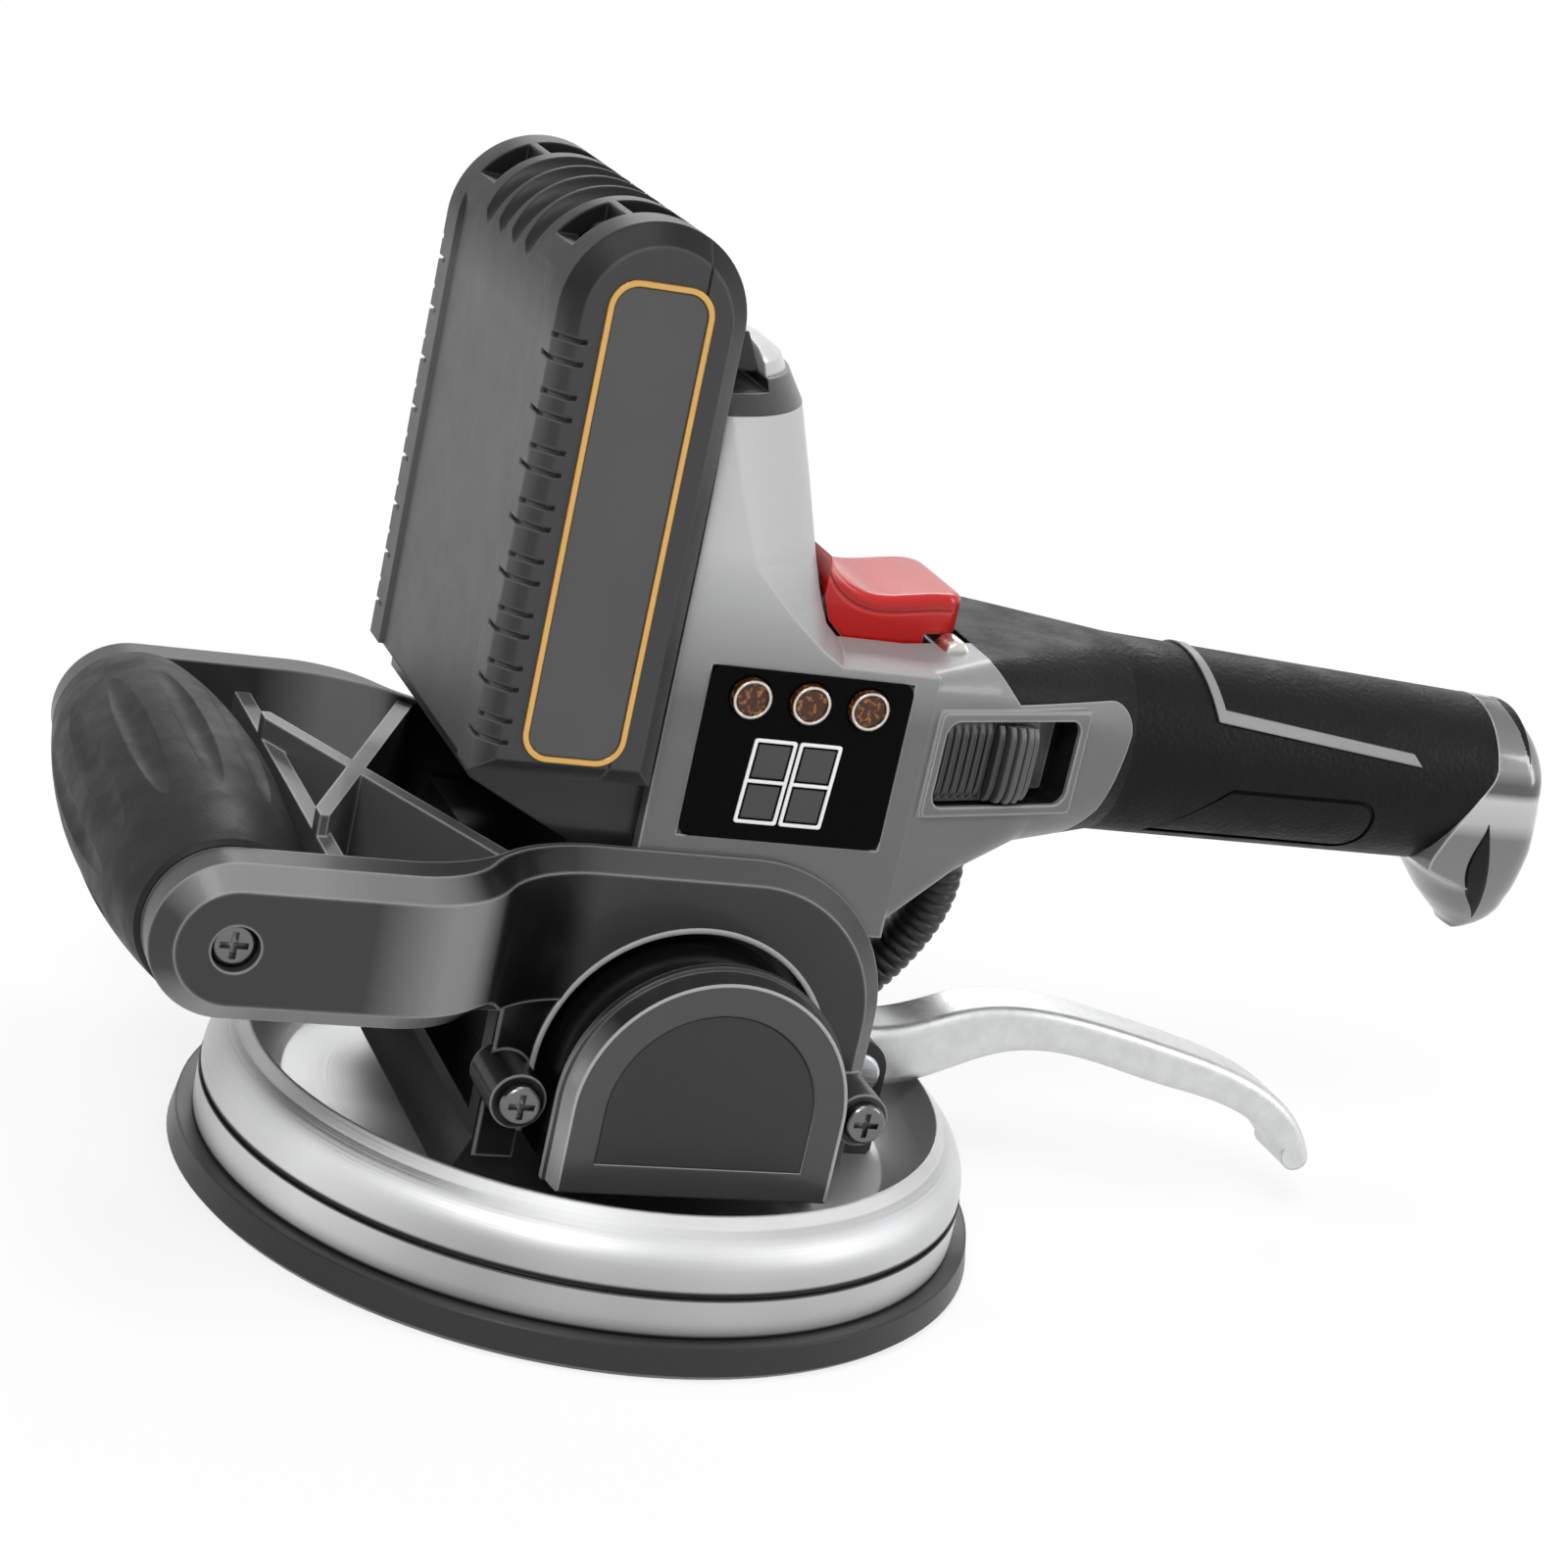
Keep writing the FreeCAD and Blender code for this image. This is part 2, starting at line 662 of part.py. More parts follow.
# ---------------------------------------------------------------- front grip
def grip_core():
    """Steel tube between the arms."""
    tube = cyl_y(grip_bore_r, -arm_in, arm_in, arm_end_x, arm_end_z)
    return tube.cut(cyl_y(screw_shank_r, -arm_in - 1, arm_in + 1, arm_end_x, arm_end_z))


def grip_sleeve():
    """Barrel-shaped rubber sleeve with long shallow flutes."""
    half = arm_in - 0.4
    profile = Part.Wire([
        line((grip_bore_r, -half, 0), (grip_end_r - 0.8, -half, 0)),
        line((grip_end_r - 0.8, -half, 0), (grip_end_r, -half + 0.8, 0)),
        arc((grip_end_r, -half + 0.8, 0), (grip_mid_r, 0, 0), (grip_end_r, half - 0.8, 0)),
        line((grip_end_r, half - 0.8, 0), (grip_end_r - 0.8, half, 0)),
        line((grip_end_r - 0.8, half, 0), (grip_bore_r, half, 0)),
        line((grip_bore_r, half, 0), (grip_bore_r, -half, 0)),
    ])
    sleeve = Part.Face(profile).revolve(V(0, 0, 0), Y_AXIS, 360)
    for i in range(grip_flutes):
        angle = 2 * math.pi * i / grip_flutes
        reach = grip_mid_r + flute_r - flute_depth
        flute = cyl_y(flute_r, -half, half, reach * math.sin(angle), reach * math.cos(angle))
        sleeve = sleeve.cut(flute)
    sleeve.translate(V(arm_end_x, 0, arm_end_z))
    return sleeve


def arm_screws():
    left = pan_screw(arm_end_x, arm_end_z, -arm_half + screw_sink, arm_t - screw_sink + 14)
    return Part.makeCompound([left, mirror_y(left)])


# ---------------------------------------------------------------- housing
def grip_envelope(skin):
    """Neck and rear handle as one loft; skin is how far it lies inside the outside."""
    def half_at(x):
        return half_w - neck_slope * (x - body_x1) - skin
    low = grip_z - grip_r + skin
    high = grip_z + grip_r - skin
    end_x = tail_x + 14
    sections = [
        rounded_section(body_x1, half_at(body_x1), base_top + 2 + skin, body_top - skin, 3.4),
        rounded_section(neck_x, half_at(neck_x), neck_z0 + skin, body_top + 1.6 - skin, 7.0 - skin),
        rounded_section(neck_x + 14, half_at(neck_x + 14), low, high - 0.2, 12.0 - skin),
        rounded_section(root_x, grip_r - skin, low, high, grip_r - skin - 0.3),
        rounded_section(end_x, tail_r - skin, tail_z - tail_r + skin, tail_z + tail_r - skin,
                        tail_r - skin - 0.3),
    ]
    return Part.makeLoft(sections, True, True)


def behind_seam():
    """Space behind the handle's end seam: upright above, swept forwards below."""
    low = grip_z - 3 * grip_r
    high = grip_z + 3 * grip_r
    side = 3 * grip_r
    knee_z = tail_z + seam_knee
    foot_z = grip_z - grip_r
    slope = seam_sweep / (knee_z - foot_z)
    knee_x = seam_x + seam_sweep
    low_x = seam_x - slope * (foot_z - low)
    back_x = knee_x + 6 * tail_r
    bend = seam_bend
    below = (knee_x - bend * slope, -side, knee_z - bend)
    above = (knee_x, -side, knee_z + bend)
    outline = Part.Wire([
        line((low_x, -side, low), below),
        arc(below, (knee_x - 0.15 * bend, -side, knee_z - 0.15 * bend), above),
        line(above, (knee_x, -side, high)),
        line((knee_x, -side, high), (back_x, -side, high)),
        line((back_x, -side, high), (back_x, -side, low)),
        line((back_x, -side, low), (low_x, -side, low)),
    ])
    return Part.Face(outline).extrude(V(0, 2 * side, 0))


def rubber_region():
    """Side view of the rubber's extent: forward over the neck's top, back round the switch bezel."""
    high = grip_z + 3 * grip_r
    low = grip_z - 3 * grip_r
    z_line = switch_z + switch_h / 2 + 2.6
    bezel_x = root_x - 1.0
    outline = Part.Wire([
        line((neck_x - 6, -60, high), (neck_x - 1, -60, grip_z + grip_r - 1)),
        line((neck_x - 1, -60, grip_z + grip_r - 1), (neck_x + 5, -60, z_line)),
        line((neck_x + 5, -60, z_line), (bezel_x - 6, -60, z_line)),
        arc((bezel_x - 6, -60, z_line), (bezel_x - 1.4, -60, z_line - 2.0), (bezel_x, -60, z_line - 6)),
        line((bezel_x, -60, z_line - 6), (bezel_x - 3, -60, grip_z - 10)),
        line((bezel_x - 3, -60, grip_z - 10), (bezel_x - 9, -60, grip_z - grip_r - 2)),
        line((bezel_x - 9, -60, grip_z - grip_r - 2), (bezel_x - 9, -60, low)),
        line((bezel_x - 9, -60, low), (tail_x + 40, -60, low)),
        line((tail_x + 40, -60, low), (tail_x + 40, -60, high)),
        line((tail_x + 40, -60, high), (neck_x - 6, -60, high)),
    ])
    return Part.Face(outline).extrude(V(0, 120, 0))


def oval_groove():
    """Narrow groove in the shape of a long oval, low on both sides of the handle."""
    x0, x1 = groove_x0, groove_x1
    z1 = groove_z + groove_h
    def ring(inset):
        r = 5.0 - inset
        low = groove_z + inset
        high = z1 - inset
        front = x0 + inset
        rear = x1 - inset
        k = r * (1 - math.sqrt(0.5))
        return Part.Face(Part.Wire([
            line((front, -60, low), (rear - r, -60, low)),
            arc((rear - r, -60, low), (rear - k, -60, low + k), (rear, -60, low + r)),
            line((rear, -60, low + r), (rear, -60, high - r)),
            arc((rear, -60, high - r), (rear - k, -60, high - k), (rear - r, -60, high)),
            line((rear - r, -60, high), (front + 8 + r, -60, high)),
            line((front + 8 + r, -60, high), (front, -60, low)),
        ])).extrude(V(0, 120, 0))
    return ring(0).cut(ring(0.9))


def handle_sleeve():
    """Rubber overmould of the rear handle, with a long oval groove on each side."""
    cover = grip_envelope(0).common(rubber_region()).cut(behind_seam())
    skin = grip_envelope(0).cut(grip_envelope(groove_deep))
    return cover.cut(grip_envelope(rubber_t)).cut(oval_groove().common(skin))


def handle_trim():
    """Raised ring over the rubber and the long inlay line that runs back from it."""
    over = grip_envelope(-ring_rise).cut(grip_envelope(0))
    lean = 4.0
    ring_low = grip_z + 9
    ring_high = grip_z + grip_r + 4
    ring = prism_xz([(ring_x + lean, ring_low), (ring_x + lean + 2, ring_low), (ring_x + 2, ring_high),
                     (ring_x, ring_high)], -60, 60)
    inlay = prism_xz([(ring_x + lean, ring_low), (ring_x + lean - 0.6, ring_low + 2.2),
                      (inlay_x1, ring_low - 2.4), (inlay_x1 + 2.0, ring_low - 4.6)], -60, 60)
    return over.common(ring.fuse(inlay))


def tower_wire(z, crease_x, rear_x, half):
    """Plan section of the tower: flat front, flat sides and an arched rear that meets them at a crease."""
    return Part.Wire([
        line((body_x0, half, z), (body_x0, -half, z)),
        line((body_x0, -half, z), (crease_x, -half, z)),
        arc((crease_x, -half, z), (rear_x, 0, z), (crease_x, half, z)),
        line((crease_x, half, z), (body_x0, half, z)),
    ])


def tower_solid():
    """Tower behind the battery, narrowing upwards from the housing's deck."""
    height = tower_top - body_top
    root = tower_wire(body_top - 6, body_x0 + 41, body_x0 + 43, half_w)
    rising = [
        (0.06, 26.0, 34.5, 0.0),
        (0.20, 18.8, 32.8, 0.0),
        (0.39, 10.6, 30.6, 0.0),
        (0.69, 5.4, 26.8, 0.4),
        (1.00, tower_crease, tower_depth, tower_draft),
    ]
    wires = [tower_level(share * height - height, crease, depth, draft)
             for share, crease, depth, draft in rising]
    return Part.makeLoft([root] + wires, True, True)


def housing_outer():
    """Outside of both housing halves: lower body, tower, neck and handle core."""
    body = box(body_x0, body_x1, -half_w, half_w, base_top, body_top)
    neck = grip_envelope(0).cut(rubber_region())
    core = grip_envelope(rubber_t).common(box(neck_x, tail_x + 20, -60, 60, 0, 200)).cut(behind_seam())
    return fuse(body, tower_solid(), neck, core)


def paddle_well(grow):
    """Recess in the deck for the paddle trigger."""
    return box(paddle_x0 - 2.0 - grow, paddle_x1 + 3.0 + grow, -paddle_half - 0.9 - grow,
               paddle_half + 0.9 + grow, well_floor, body_top + 30)


def switch_frame(t0, t1, depth0, depth1, h):
    """Block in the switch's own frame: along the neck's side, outwards, and up."""
    block = box(t0, t1, depth0, depth1, -h / 2, h / 2)
    block.rotate(V(0, 0, 0), Z_AXIS, neck_angle)
    block.translate(V(switch_x, -(half_w - neck_slope * (switch_x - body_x1)), switch_z))
    return block


def housing():
    """Both halves in one, ready to be split down the middle."""
    rim = 1.6
    bezel = switch_frame(-switch_w / 2 - rim, switch_w / 2 + rim, -bezel_rise, 3.0, switch_h + 2 * rim)
    shell = fuse(housing_outer(), bezel)
    inside = half_w - shell_t
    room = box(body_x0 + room_wall, body_x1 - room_wall, -inside, inside, base_top + room_floor,
               well_floor - 4)
    tower_room = box(body_x0 + 3, body_x0 + 13, -half_w + 14, half_w - 14, well_floor - 5, tower_top - 12)
    handle_room = Part.makeCylinder(9.0, seam_x - 6 - root_x, V(root_x - 4, 0, tail_z + 1), X_AXIS)
    panel_bed = box(panel_x0, panel_x1, -half_w - 1, -half_w + panel_t - panel_proud, panel_z0, panel_z1)
    cuts = [room, tower_room, handle_room, panel_bed, paddle_well(0)]
    for x in button_xs():
        cuts.append(cyl_y(button_r + slide_gap, -half_w, -half_w + button_well, x, button_z))
    cuts.append(switch_frame(-switch_w / 2, switch_w / 2, -8, switch_depth, switch_h))
    cuts.append(cyl_y(paddle_pin_r, -paddle_half - 5, paddle_half + 5, paddle_pin_x, paddle_pin_z))
    cuts.append(hinge_pin_shape(0.0))
    cuts.append(upper_nipple())
    for cutter in cuts:
        shell = shell.cut(cutter)
    return shell


def tower_level(rise, crease, depth, draft):
    return tower_wire(tower_top + rise, body_x0 + crease, body_x0 + depth, half_w - draft)


def latch_space(z0):
    """Room across the tower's top for the battery's latch."""
    return box(body_x0 - 1, latch_x1 + 2 * slide_gap, -half_w, half_w, z0, tower_top + 3 * cap_rise)


def tower_collar():
    """Black collar round the tower's top, with a ledge under the latch."""
    collar = Part.makeLoft([tower_level(0, tower_crease, tower_depth, tower_draft),
                            tower_level(cap_rise, 0.6, tower_depth - 3.2, tower_draft + 4.8)], True, True)
    return collar.cut(latch_space(latch_z0 - latch_press - 2 * slide_gap))


def tower_cap():
    """Low dome on the collar, behind the battery's latch."""
    levels = [tower_level(cap_rise, 0.6, tower_depth - 3.8, tower_draft + 5.4),
              tower_level(cap_rise + 0.45 * dome_rise, 0.6, tower_depth - 5.0, tower_draft + 7.4),
              tower_level(cap_rise + 0.8 * dome_rise, 0.6, tower_depth - 8.0, tower_draft + 11.4),
              tower_level(cap_rise + dome_rise, 0.6, tower_depth - 12.0, tower_draft + 17.4)]
    return Part.makeLoft(levels, True, True).cut(latch_space(tower_top))


def handle_end_cap():
    """End cap with a hook that keeps the hand from slipping off."""
    side = Part.Wire([
        line((seam_x - 6, 0, grip_z - grip_r - 2.0), (seam_x + 3.5, 0, grip_z - grip_r - 3.4)),
        spline([(seam_x + 3.5, 0, grip_z - grip_r - 3.4), (seam_x + 9, 0, grip_z - grip_r - 7.0),
                (seam_x + 12.5, 0, hook_drop + 4), (seam_x + 18, 0, hook_drop)]),
        spline([(seam_x + 18, 0, hook_drop), (hook_back - 4.5, 0, hook_drop + 3.2),
                (hook_back, 0, hook_drop + 16),
                (hook_back - 0.8, 0, tail_z + 1), (hook_back - 5.5, 0, tail_z + 11),
                (hook_back - 14, 0, tail_z + tail_r + 0.4)]),
        line((hook_back - 14, 0, tail_z + tail_r + 0.4), (seam_x - 6, 0, tail_z + tail_r + 3.4)),
        line((seam_x - 6, 0, tail_z + tail_r + 3.4), (seam_x - 6, 0, grip_z - grip_r - 2.0)),
    ])
    profile = Part.Face(side).extrude(V(0, 2 * grip_r, 0))
    profile.translate(V(0, -grip_r, 0))
    high = tail_z + tail_r + 4
    half = tail_r + 0.3
    hook_half = 6.5
    end = Part.Wire([
        arc((0, -half, tail_z), (0, 0, tail_z + half), (0, half, tail_z)),
        line((0, half, tail_z), (0, half - 1.5, tail_z - 12)),
        line((0, half - 1.5, tail_z - 12), (0, hook_half, hook_drop + 5)),
        arc((0, hook_half, hook_drop + 5), (0, 0, hook_drop - 0.5), (0, -hook_half, hook_drop + 5)),
        line((0, -hook_half, hook_drop + 5), (0, -half + 1.5, tail_z - 12)),
        line((0, -half + 1.5, tail_z - 12), (0, -half, tail_z)),
    ])
    section = Part.Face(end).extrude(V(60, 0, 0))
    section.translate(V(seam_x - 12, 0, 0))
    crown = seam_x + 15
    plan = Part.Wire([
        line((seam_x - 12, -grip_r, 0), (crown, -grip_r, 0)),
        arc((crown, -grip_r, 0), (hook_back + 0.6, 0, 0), (crown, grip_r, 0)),
        line((crown, grip_r, 0), (seam_x - 12, grip_r, 0)),
        line((seam_x - 12, grip_r, 0), (seam_x - 12, -grip_r, 0)),
    ])
    domed = Part.Face(plan).extrude(V(0, 0, 2 * grip_z))
    return profile.common(section).common(domed).common(behind_seam())


# ---------------------------------------------------------------- controls
def button_xs():
    centre = (panel_x0 + panel_x1) / 2
    return [centre + (i - 1) * button_pitch for i in range(3)]


def display_panel():
    """Glossy control panel with three button holes."""
    y0 = -half_w - panel_proud
    plate = box(panel_x0, panel_x1, y0, y0 + panel_t, panel_z0, panel_z1)
    plate = plate.makeFillet(2.2, [e for e in plate.Edges if e.BoundBox.YLength > panel_t - 0.1])
    for x in button_xs():
        plate = plate.cut(cyl_y(button_r + slide_gap, y0 - 1, y0 + panel_t + 1, x, button_z))
    return plate


def digit(x0):
    """Outline of an eight: two stacked boxes, leaning slightly."""
    y1 = -half_w - panel_proud
    y0 = y1 - 0.3
    z0 = panel_z0 + 3.2
    half = digit_h / 2
    frame = box(x0, x0 + digit_w, y0, y1, z0, z0 + digit_h)
    for low in (z0, z0 + half):
        inner = box(x0 + digit_line, x0 + digit_w - digit_line, y0 - 1, y1 + 1,
                    low + digit_line, low + half - digit_line)
        frame = frame.cut(inner)
    return frame


def display_digits():
    first = panel_x0 + 9.6
    return Part.makeCompound([digit(first), digit(first + digit_w + 1.2)])


def panel_button(i):
    """Push button with a raised rim, in its well behind the panel."""
    x = button_xs()[i]
    y0 = -half_w - panel_proud - button_proud
    stem = cyl_y(button_r, y0, -half_w + button_well - button_travel - seat_gap, x, button_z)
    dish = cyl_y(button_r - 0.7, y0 - 1, y0 + 0.4, x, button_z)
    return stem.cut(dish)


def button_board():
    """Circuit board on the left wall behind the panel."""
    inside = half_w - shell_t
    face = -inside + board_t
    board = box(panel_x0, panel_x1, -inside, face, base_top + board_low, well_floor - board_high)
    chip_x = (panel_x0 + panel_x1) / 2 - chip_w
    chip_z = base_top + board_low + chip_in
    chip = box(chip_x, chip_x + chip_w, face, face + chip_t, chip_z, chip_z + chip_w)
    plug_x = panel_x1 - board_in
    plug = box(plug_x - plug_w, plug_x, face, face + plug_t, base_top + board_low + plug_in,
               base_top + board_low + plug_in + plug_h)
    return fuse(board, chip, plug)


def vacuum_pump():
    """Small diaphragm pump on the housing's floor: motor, head and outlet."""
    floor = base_top + room_floor
    start = body_x0 + room_wall
    head_x1 = start + pump_len + pump_head
    motor = Part.makeCylinder(pump_r, pump_len, V(start, pump_y, floor + pump_r), X_AXIS)
    head_half = pump_r + 1
    head = box(start + pump_len, head_x1, pump_y - head_half, pump_y + head_half,
               floor, floor + 2 * head_half)
    outlet_end = V(head_x1, pump_y, floor + head_half)
    outlet = Part.makeCylinder(outlet_r, body_x1 - room_wall - head_x1, outlet_end, X_AXIS)
    return fuse(motor, head, outlet)


def switch_slider():
    """Ribbed slide switch: ramped thumb rest with upright ribs."""
    start = -switch_w / 2 + 0.6
    end = start + slider_w
    height = switch_h - 2 * slide_gap
    body = switch_frame(start, end, 0.4, switch_depth - seat_gap, height)
    ribs = []
    count = 9
    pitch = (slider_w - 1.0) / count
    for i in range(count):
        t = start + 0.4 + i * pitch
        out = 2.2 - 1.7 * math.sin(math.pi * (i + 0.5) / count)
        ribs.append(switch_frame(t, t + pitch * 0.62, -out, 0.6, height))
    return fuse(body, *ribs)


def paddle_top_line(drop):
    """The paddle's top in side view, lowered by drop."""
    top = paddle_top - drop
    return [(paddle_x1, 0, top), (paddle_x0 + 16, 0, top - 0.8), (paddle_x0 + 8, 0, top - 1.0),
            (paddle_x0 + 3.4, 0, top + 1.0), (paddle_x0, 0, top + paddle_crown)]


def paddle_side(drop_top, drop_low):
    """Band under the paddle's top, between two drops."""
    upper = paddle_top_line(drop_top)
    lower = paddle_top_line(drop_low)
    ends = [line(upper[-1], lower[-1]), line(lower[0], upper[0])]
    return Part.Wire([spline(upper), ends[0], spline(lower[::-1]), ends[1]])


def paddle_trigger():
    """Red paddle: flat thumb pad, scooped rise to the tower and a skirt in the well."""
    low = paddle_top - paddle_t
    skirt = well_floor + 5.0
    crown = paddle_top + paddle_crown
    skirt_x1 = paddle_x1 - 7
    side = Part.Wire([
        line((paddle_x0, 0, skirt), (skirt_x1, 0, skirt)),
        line((skirt_x1, 0, skirt), (skirt_x1, 0, low)),
        line((skirt_x1, 0, low), (paddle_x1, 0, low + 0.8)),
        line((paddle_x1, 0, low + 0.8), (paddle_x1, 0, paddle_top)),
        spline(paddle_top_line(0)),
        line((paddle_x0, 0, crown), (paddle_x0, 0, skirt)),
    ])
    paddle = Part.Face(side).extrude(V(0, 2 * paddle_half, 0))
    paddle.translate(V(0, -paddle_half, 0))
    corners = [e for e in paddle.Edges if e.BoundBox.XLength < 0.1 and abs(middle(e).x - paddle_x1) < 0.1
               and e.BoundBox.ZLength > 2]
    paddle = paddle.makeFillet(4.0, corners)
    rims = [e for e in paddle.Edges if e.BoundBox.ZMax > paddle_top - 0.4 and e.Length > 4
            and abs(middle(e).z - paddle_top) < 1.4]
    paddle = paddle.makeFillet(1.5, rims)
    band = Part.Face(paddle_side(paddle_groove, paddle_groove + 0.7)).extrude(V(0, 4 * paddle_half, 0))
    band.translate(V(0, -2 * paddle_half, 0))
    core = box(paddle_x0 - 1, paddle_x1 - 0.5, -paddle_half + 0.5, paddle_half - 0.5, skirt, crown)
    return paddle.cut(band.cut(core)).cut(tower_solid_grown()).cut(hinge_pin_shape(run_gap))


def tower_solid_grown():
    """Tower with room for the paddle's swing."""
    grown = tower_solid()
    grown.translate(V(0.8, 0, 0))
    return grown


def hinge_pin_shape(grow):
    reach = paddle_half + 4.0
    return cyl_y(1.5 + grow, -reach, reach, paddle_hinge_x, paddle_hinge_z)


def paddle_hinge_pin():
    return hinge_pin_shape(0.0)


def paddle_pin():
    """Bright stop pin across the well, under the paddle's free end."""
    return cyl_y(paddle_pin_r, -paddle_half - 5, paddle_half + 5, paddle_pin_x, paddle_pin_z)


# ---------------------------------------------------------------- battery
def battery_profile(inset):
    """Side view of the pack: upright slab with a half-round top."""
    r = batt_r - inset
    x0 = batt_x0 + inset
    x1 = batt_x1 - inset
    z0 = batt_z0 + inset
    return Part.Wire([
        line((x0, 0, z0), (x0, 0, batt_cz)),
        arc((x0, 0, batt_cz), (batt_cx, 0, batt_cz + r), (x1, 0, batt_cz)),
        line((x1, 0, batt_cz), (x1, 0, z0)),
        line((x1, 0, z0), (x0, 0, z0)),
    ])


def battery_block(inset, half):
    block = Part.Face(battery_profile(inset)).extrude(V(0, 2 * half, 0))
    block.translate(V(0, -half, 0))
    return block


def edge_notches():
    """Notches across the front bevels, in pairs; every second one runs on into the front face."""
    found = []
    corner = batt_half - batt_bevel
    for i in range(rib_count):
        z = batt_z0 + rib_first + i * rib_pitch + (i % 2) * rib_pair
        inner = corner - (0.6 if i % 2 else rib_long)
        rear = batt_x0 + batt_bevel
        plan = [(batt_x0 - 1, -batt_half - 1), (batt_x0 - 1, -inner), (batt_x0 + rib_deep, -inner),
                (batt_x0 + rib_deep, -corner - 0.4), (rear + 0.4, -batt_half + rib_deep),
                (rear + 1.4, -batt_half + rib_deep), (rear + 1.4, -batt_half - 1)]
        notch = prism_xy(plan, z, z + rib_w)
        found += [notch, mirror_y(notch)]
    return found


def finger_valleys():
    """Rounded grooves over the pack's top, deepest at the crown and run out on its faces."""
    run_out = 0.6
    centre_z = batt_cz - valley_depth - run_out
    above = box(batt_x0 - 1, batt_x1 + 1, -batt_half, batt_half, centre_z, batt_top + 1)
    found = []
    for i in range(valley_count):
        y = (i - (valley_count - 1) / 2) * valley_pitch
        ring = Part.makeTorus(batt_r + valley_r + run_out, valley_r, V(batt_cx, y, centre_z), Y_AXIS)
        found.append(ring.common(above))
    return found


def crown_pockets():
    """Pocket at each end of the crown, parted by a thin upright web."""
    web_x = batt_cx - 5.0
    found = []
    for side in (-1, 1):
        y0, y1 = sorted((side * pocket_y, side * (pocket_y + pocket_w)))
        ring = cyl_y(batt_r + 1, y0, y1, batt_cx, batt_cz).cut(
            cyl_y(batt_r - pocket_depth, y0 - 1, y1 + 1, batt_cx, batt_cz))
        low = batt_cz + 0.55 * batt_r
        found.append(ring.common(box(batt_x0, web_x - 0.6, y0, y1, low, batt_top + 1)))
        found.append(ring.common(box(web_x + 0.6, batt_seam_x - 1.0, y0, y1, low, batt_top + 1)))
    return found


def battery_shape():
    """Whole pack before it is split: bevelled ends, ribbed bands, finger slots and rail slot."""
    pack = battery_block(0, batt_half)
    ends = [e for e in pack.Edges if e.BoundBox.YLength < 0.01]
    pack = pack.makeChamfer(batt_bevel, ends)
    field_half = batt_half - batt_band
    field = box(batt_x0 - 1, batt_x0 + batt_recess, -field_half, field_half, batt_z0 - 1, batt_cz + 5)
    cutters = [field]
    seam = box(batt_seam_x - seam_w / 2, batt_seam_x + seam_w / 2, -batt_half - 1, batt_half + 1,
               batt_z0 - 1, batt_top + 1)
    cutters.append(seam.cut(battery_block(seam_w, batt_half - seam_w)))
    cutters += edge_notches() + finger_valleys() + crown_pockets()
    cutters.append(rail_shape(slide_gap, batt_z0 - 1, rail_z1 + 2))
    cutters.append(box(batt_x1 - latch_tongue - seat_gap, batt_x1 + 1, -latch_half + 2.7, latch_half - 2.7,
                       latch_z0 - latch_press - 1, latch_z0 + latch_h))
    return pack.cut(Part.makeCompound(cutters))


def rail_shape(gap, z0, z1):
    """T-section of the dock's rail, or of the pack's slot when it has a gap."""
    neck_x0 = batt_x1 - rail_t + gap
    lip_x0 = batt_x1 - 2 * rail_t - gap
    neck = box(neck_x0 - 1, body_x0 - dock_t, -rail_half - gap, rail_half + gap, z0, z1)
    lip = box(lip_x0, neck_x0, -rail_half - rail_lip - gap, rail_half + rail_lip + gap, z0, z1)
    return fuse(neck, lip)


def battery_half(front):
    pack = battery_shape()
    cavity = battery_block(batt_wall, batt_half - batt_wall - 1).common(
        box(batt_x0, batt_x1 - 2 * rail_t - 2.2, -60, 60, 0, batt_top - valley_depth - 2.4))
    pack = pack.cut(cavity)
    if front:
        return pack.common(box(batt_x0 - 5, batt_seam_x, -60, 60, 0, 300))
    return pack.common(box(batt_seam_x, batt_x1 + 5, -60, 60, 0, 300))


def battery_trim():
    """Gold border line on the left end of the pack."""
    def plate(inset):
        edge = trim_edge + inset
        block = box(batt_x0 + edge, batt_x1 - edge, -batt_half - trim_proud, -batt_half,
                    batt_z0 + trim_foot + inset, batt_top - trim_head - inset)
        corners = [e for e in block.Edges if e.BoundBox.YLength > trim_proud / 2]
        return block.makeFillet(trim_corner - inset, corners)
    return plate(0).cut(plate(trim_w))


def battery_cells():
    """Row of cells across the pack, as many as its height holds."""
    pitch = 2 * cell_r + cell_gap
    low = batt_z0 + batt_wall + cell_r
    half = batt_half - batt_wall - 2.0
    count = 1 + int((batt_cz - low) / pitch)
    x = batt_x0 + batt_wall + cell_r + cell_gap / 2
    return Part.makeCompound([cyl_y(cell_r, -half, half, x, low + i * pitch) for i in range(count)])


def battery_latch():
    """Release latch in the pack's rear, above the tower's shoulder."""
    top = latch_z0 + latch_h
    tongue = box(batt_x1 - latch_tongue, batt_x1 + 1, -latch_half + 3, latch_half - 3, latch_z0, top - 1)
    wedge = prism_xz([(batt_x1 + seat_gap, latch_z0), (latch_x1, latch_z0), (latch_x1 - 3.2, top),
                      (batt_x1 + seat_gap, top)], -latch_half, latch_half)
    return fuse(tongue, wedge)


def battery_dock():
    """Rail and terminal blades on the tower's front, with a foot under the pack."""
    plate = box(body_x0 - dock_t, body_x0, -rail_half - 10, rail_half + 10, batt_z0, rail_z1)
    blades = [box(batt_x1 - rail_t - 1.5, body_x0 - dock_t, y - 0.5, y + 0.5, batt_z0 + 1, rail_z0 - 2)
              for y in (-8, 0, 8)]
    return fuse(plate, rail_shape(0, rail_z0, rail_z1), *blades)


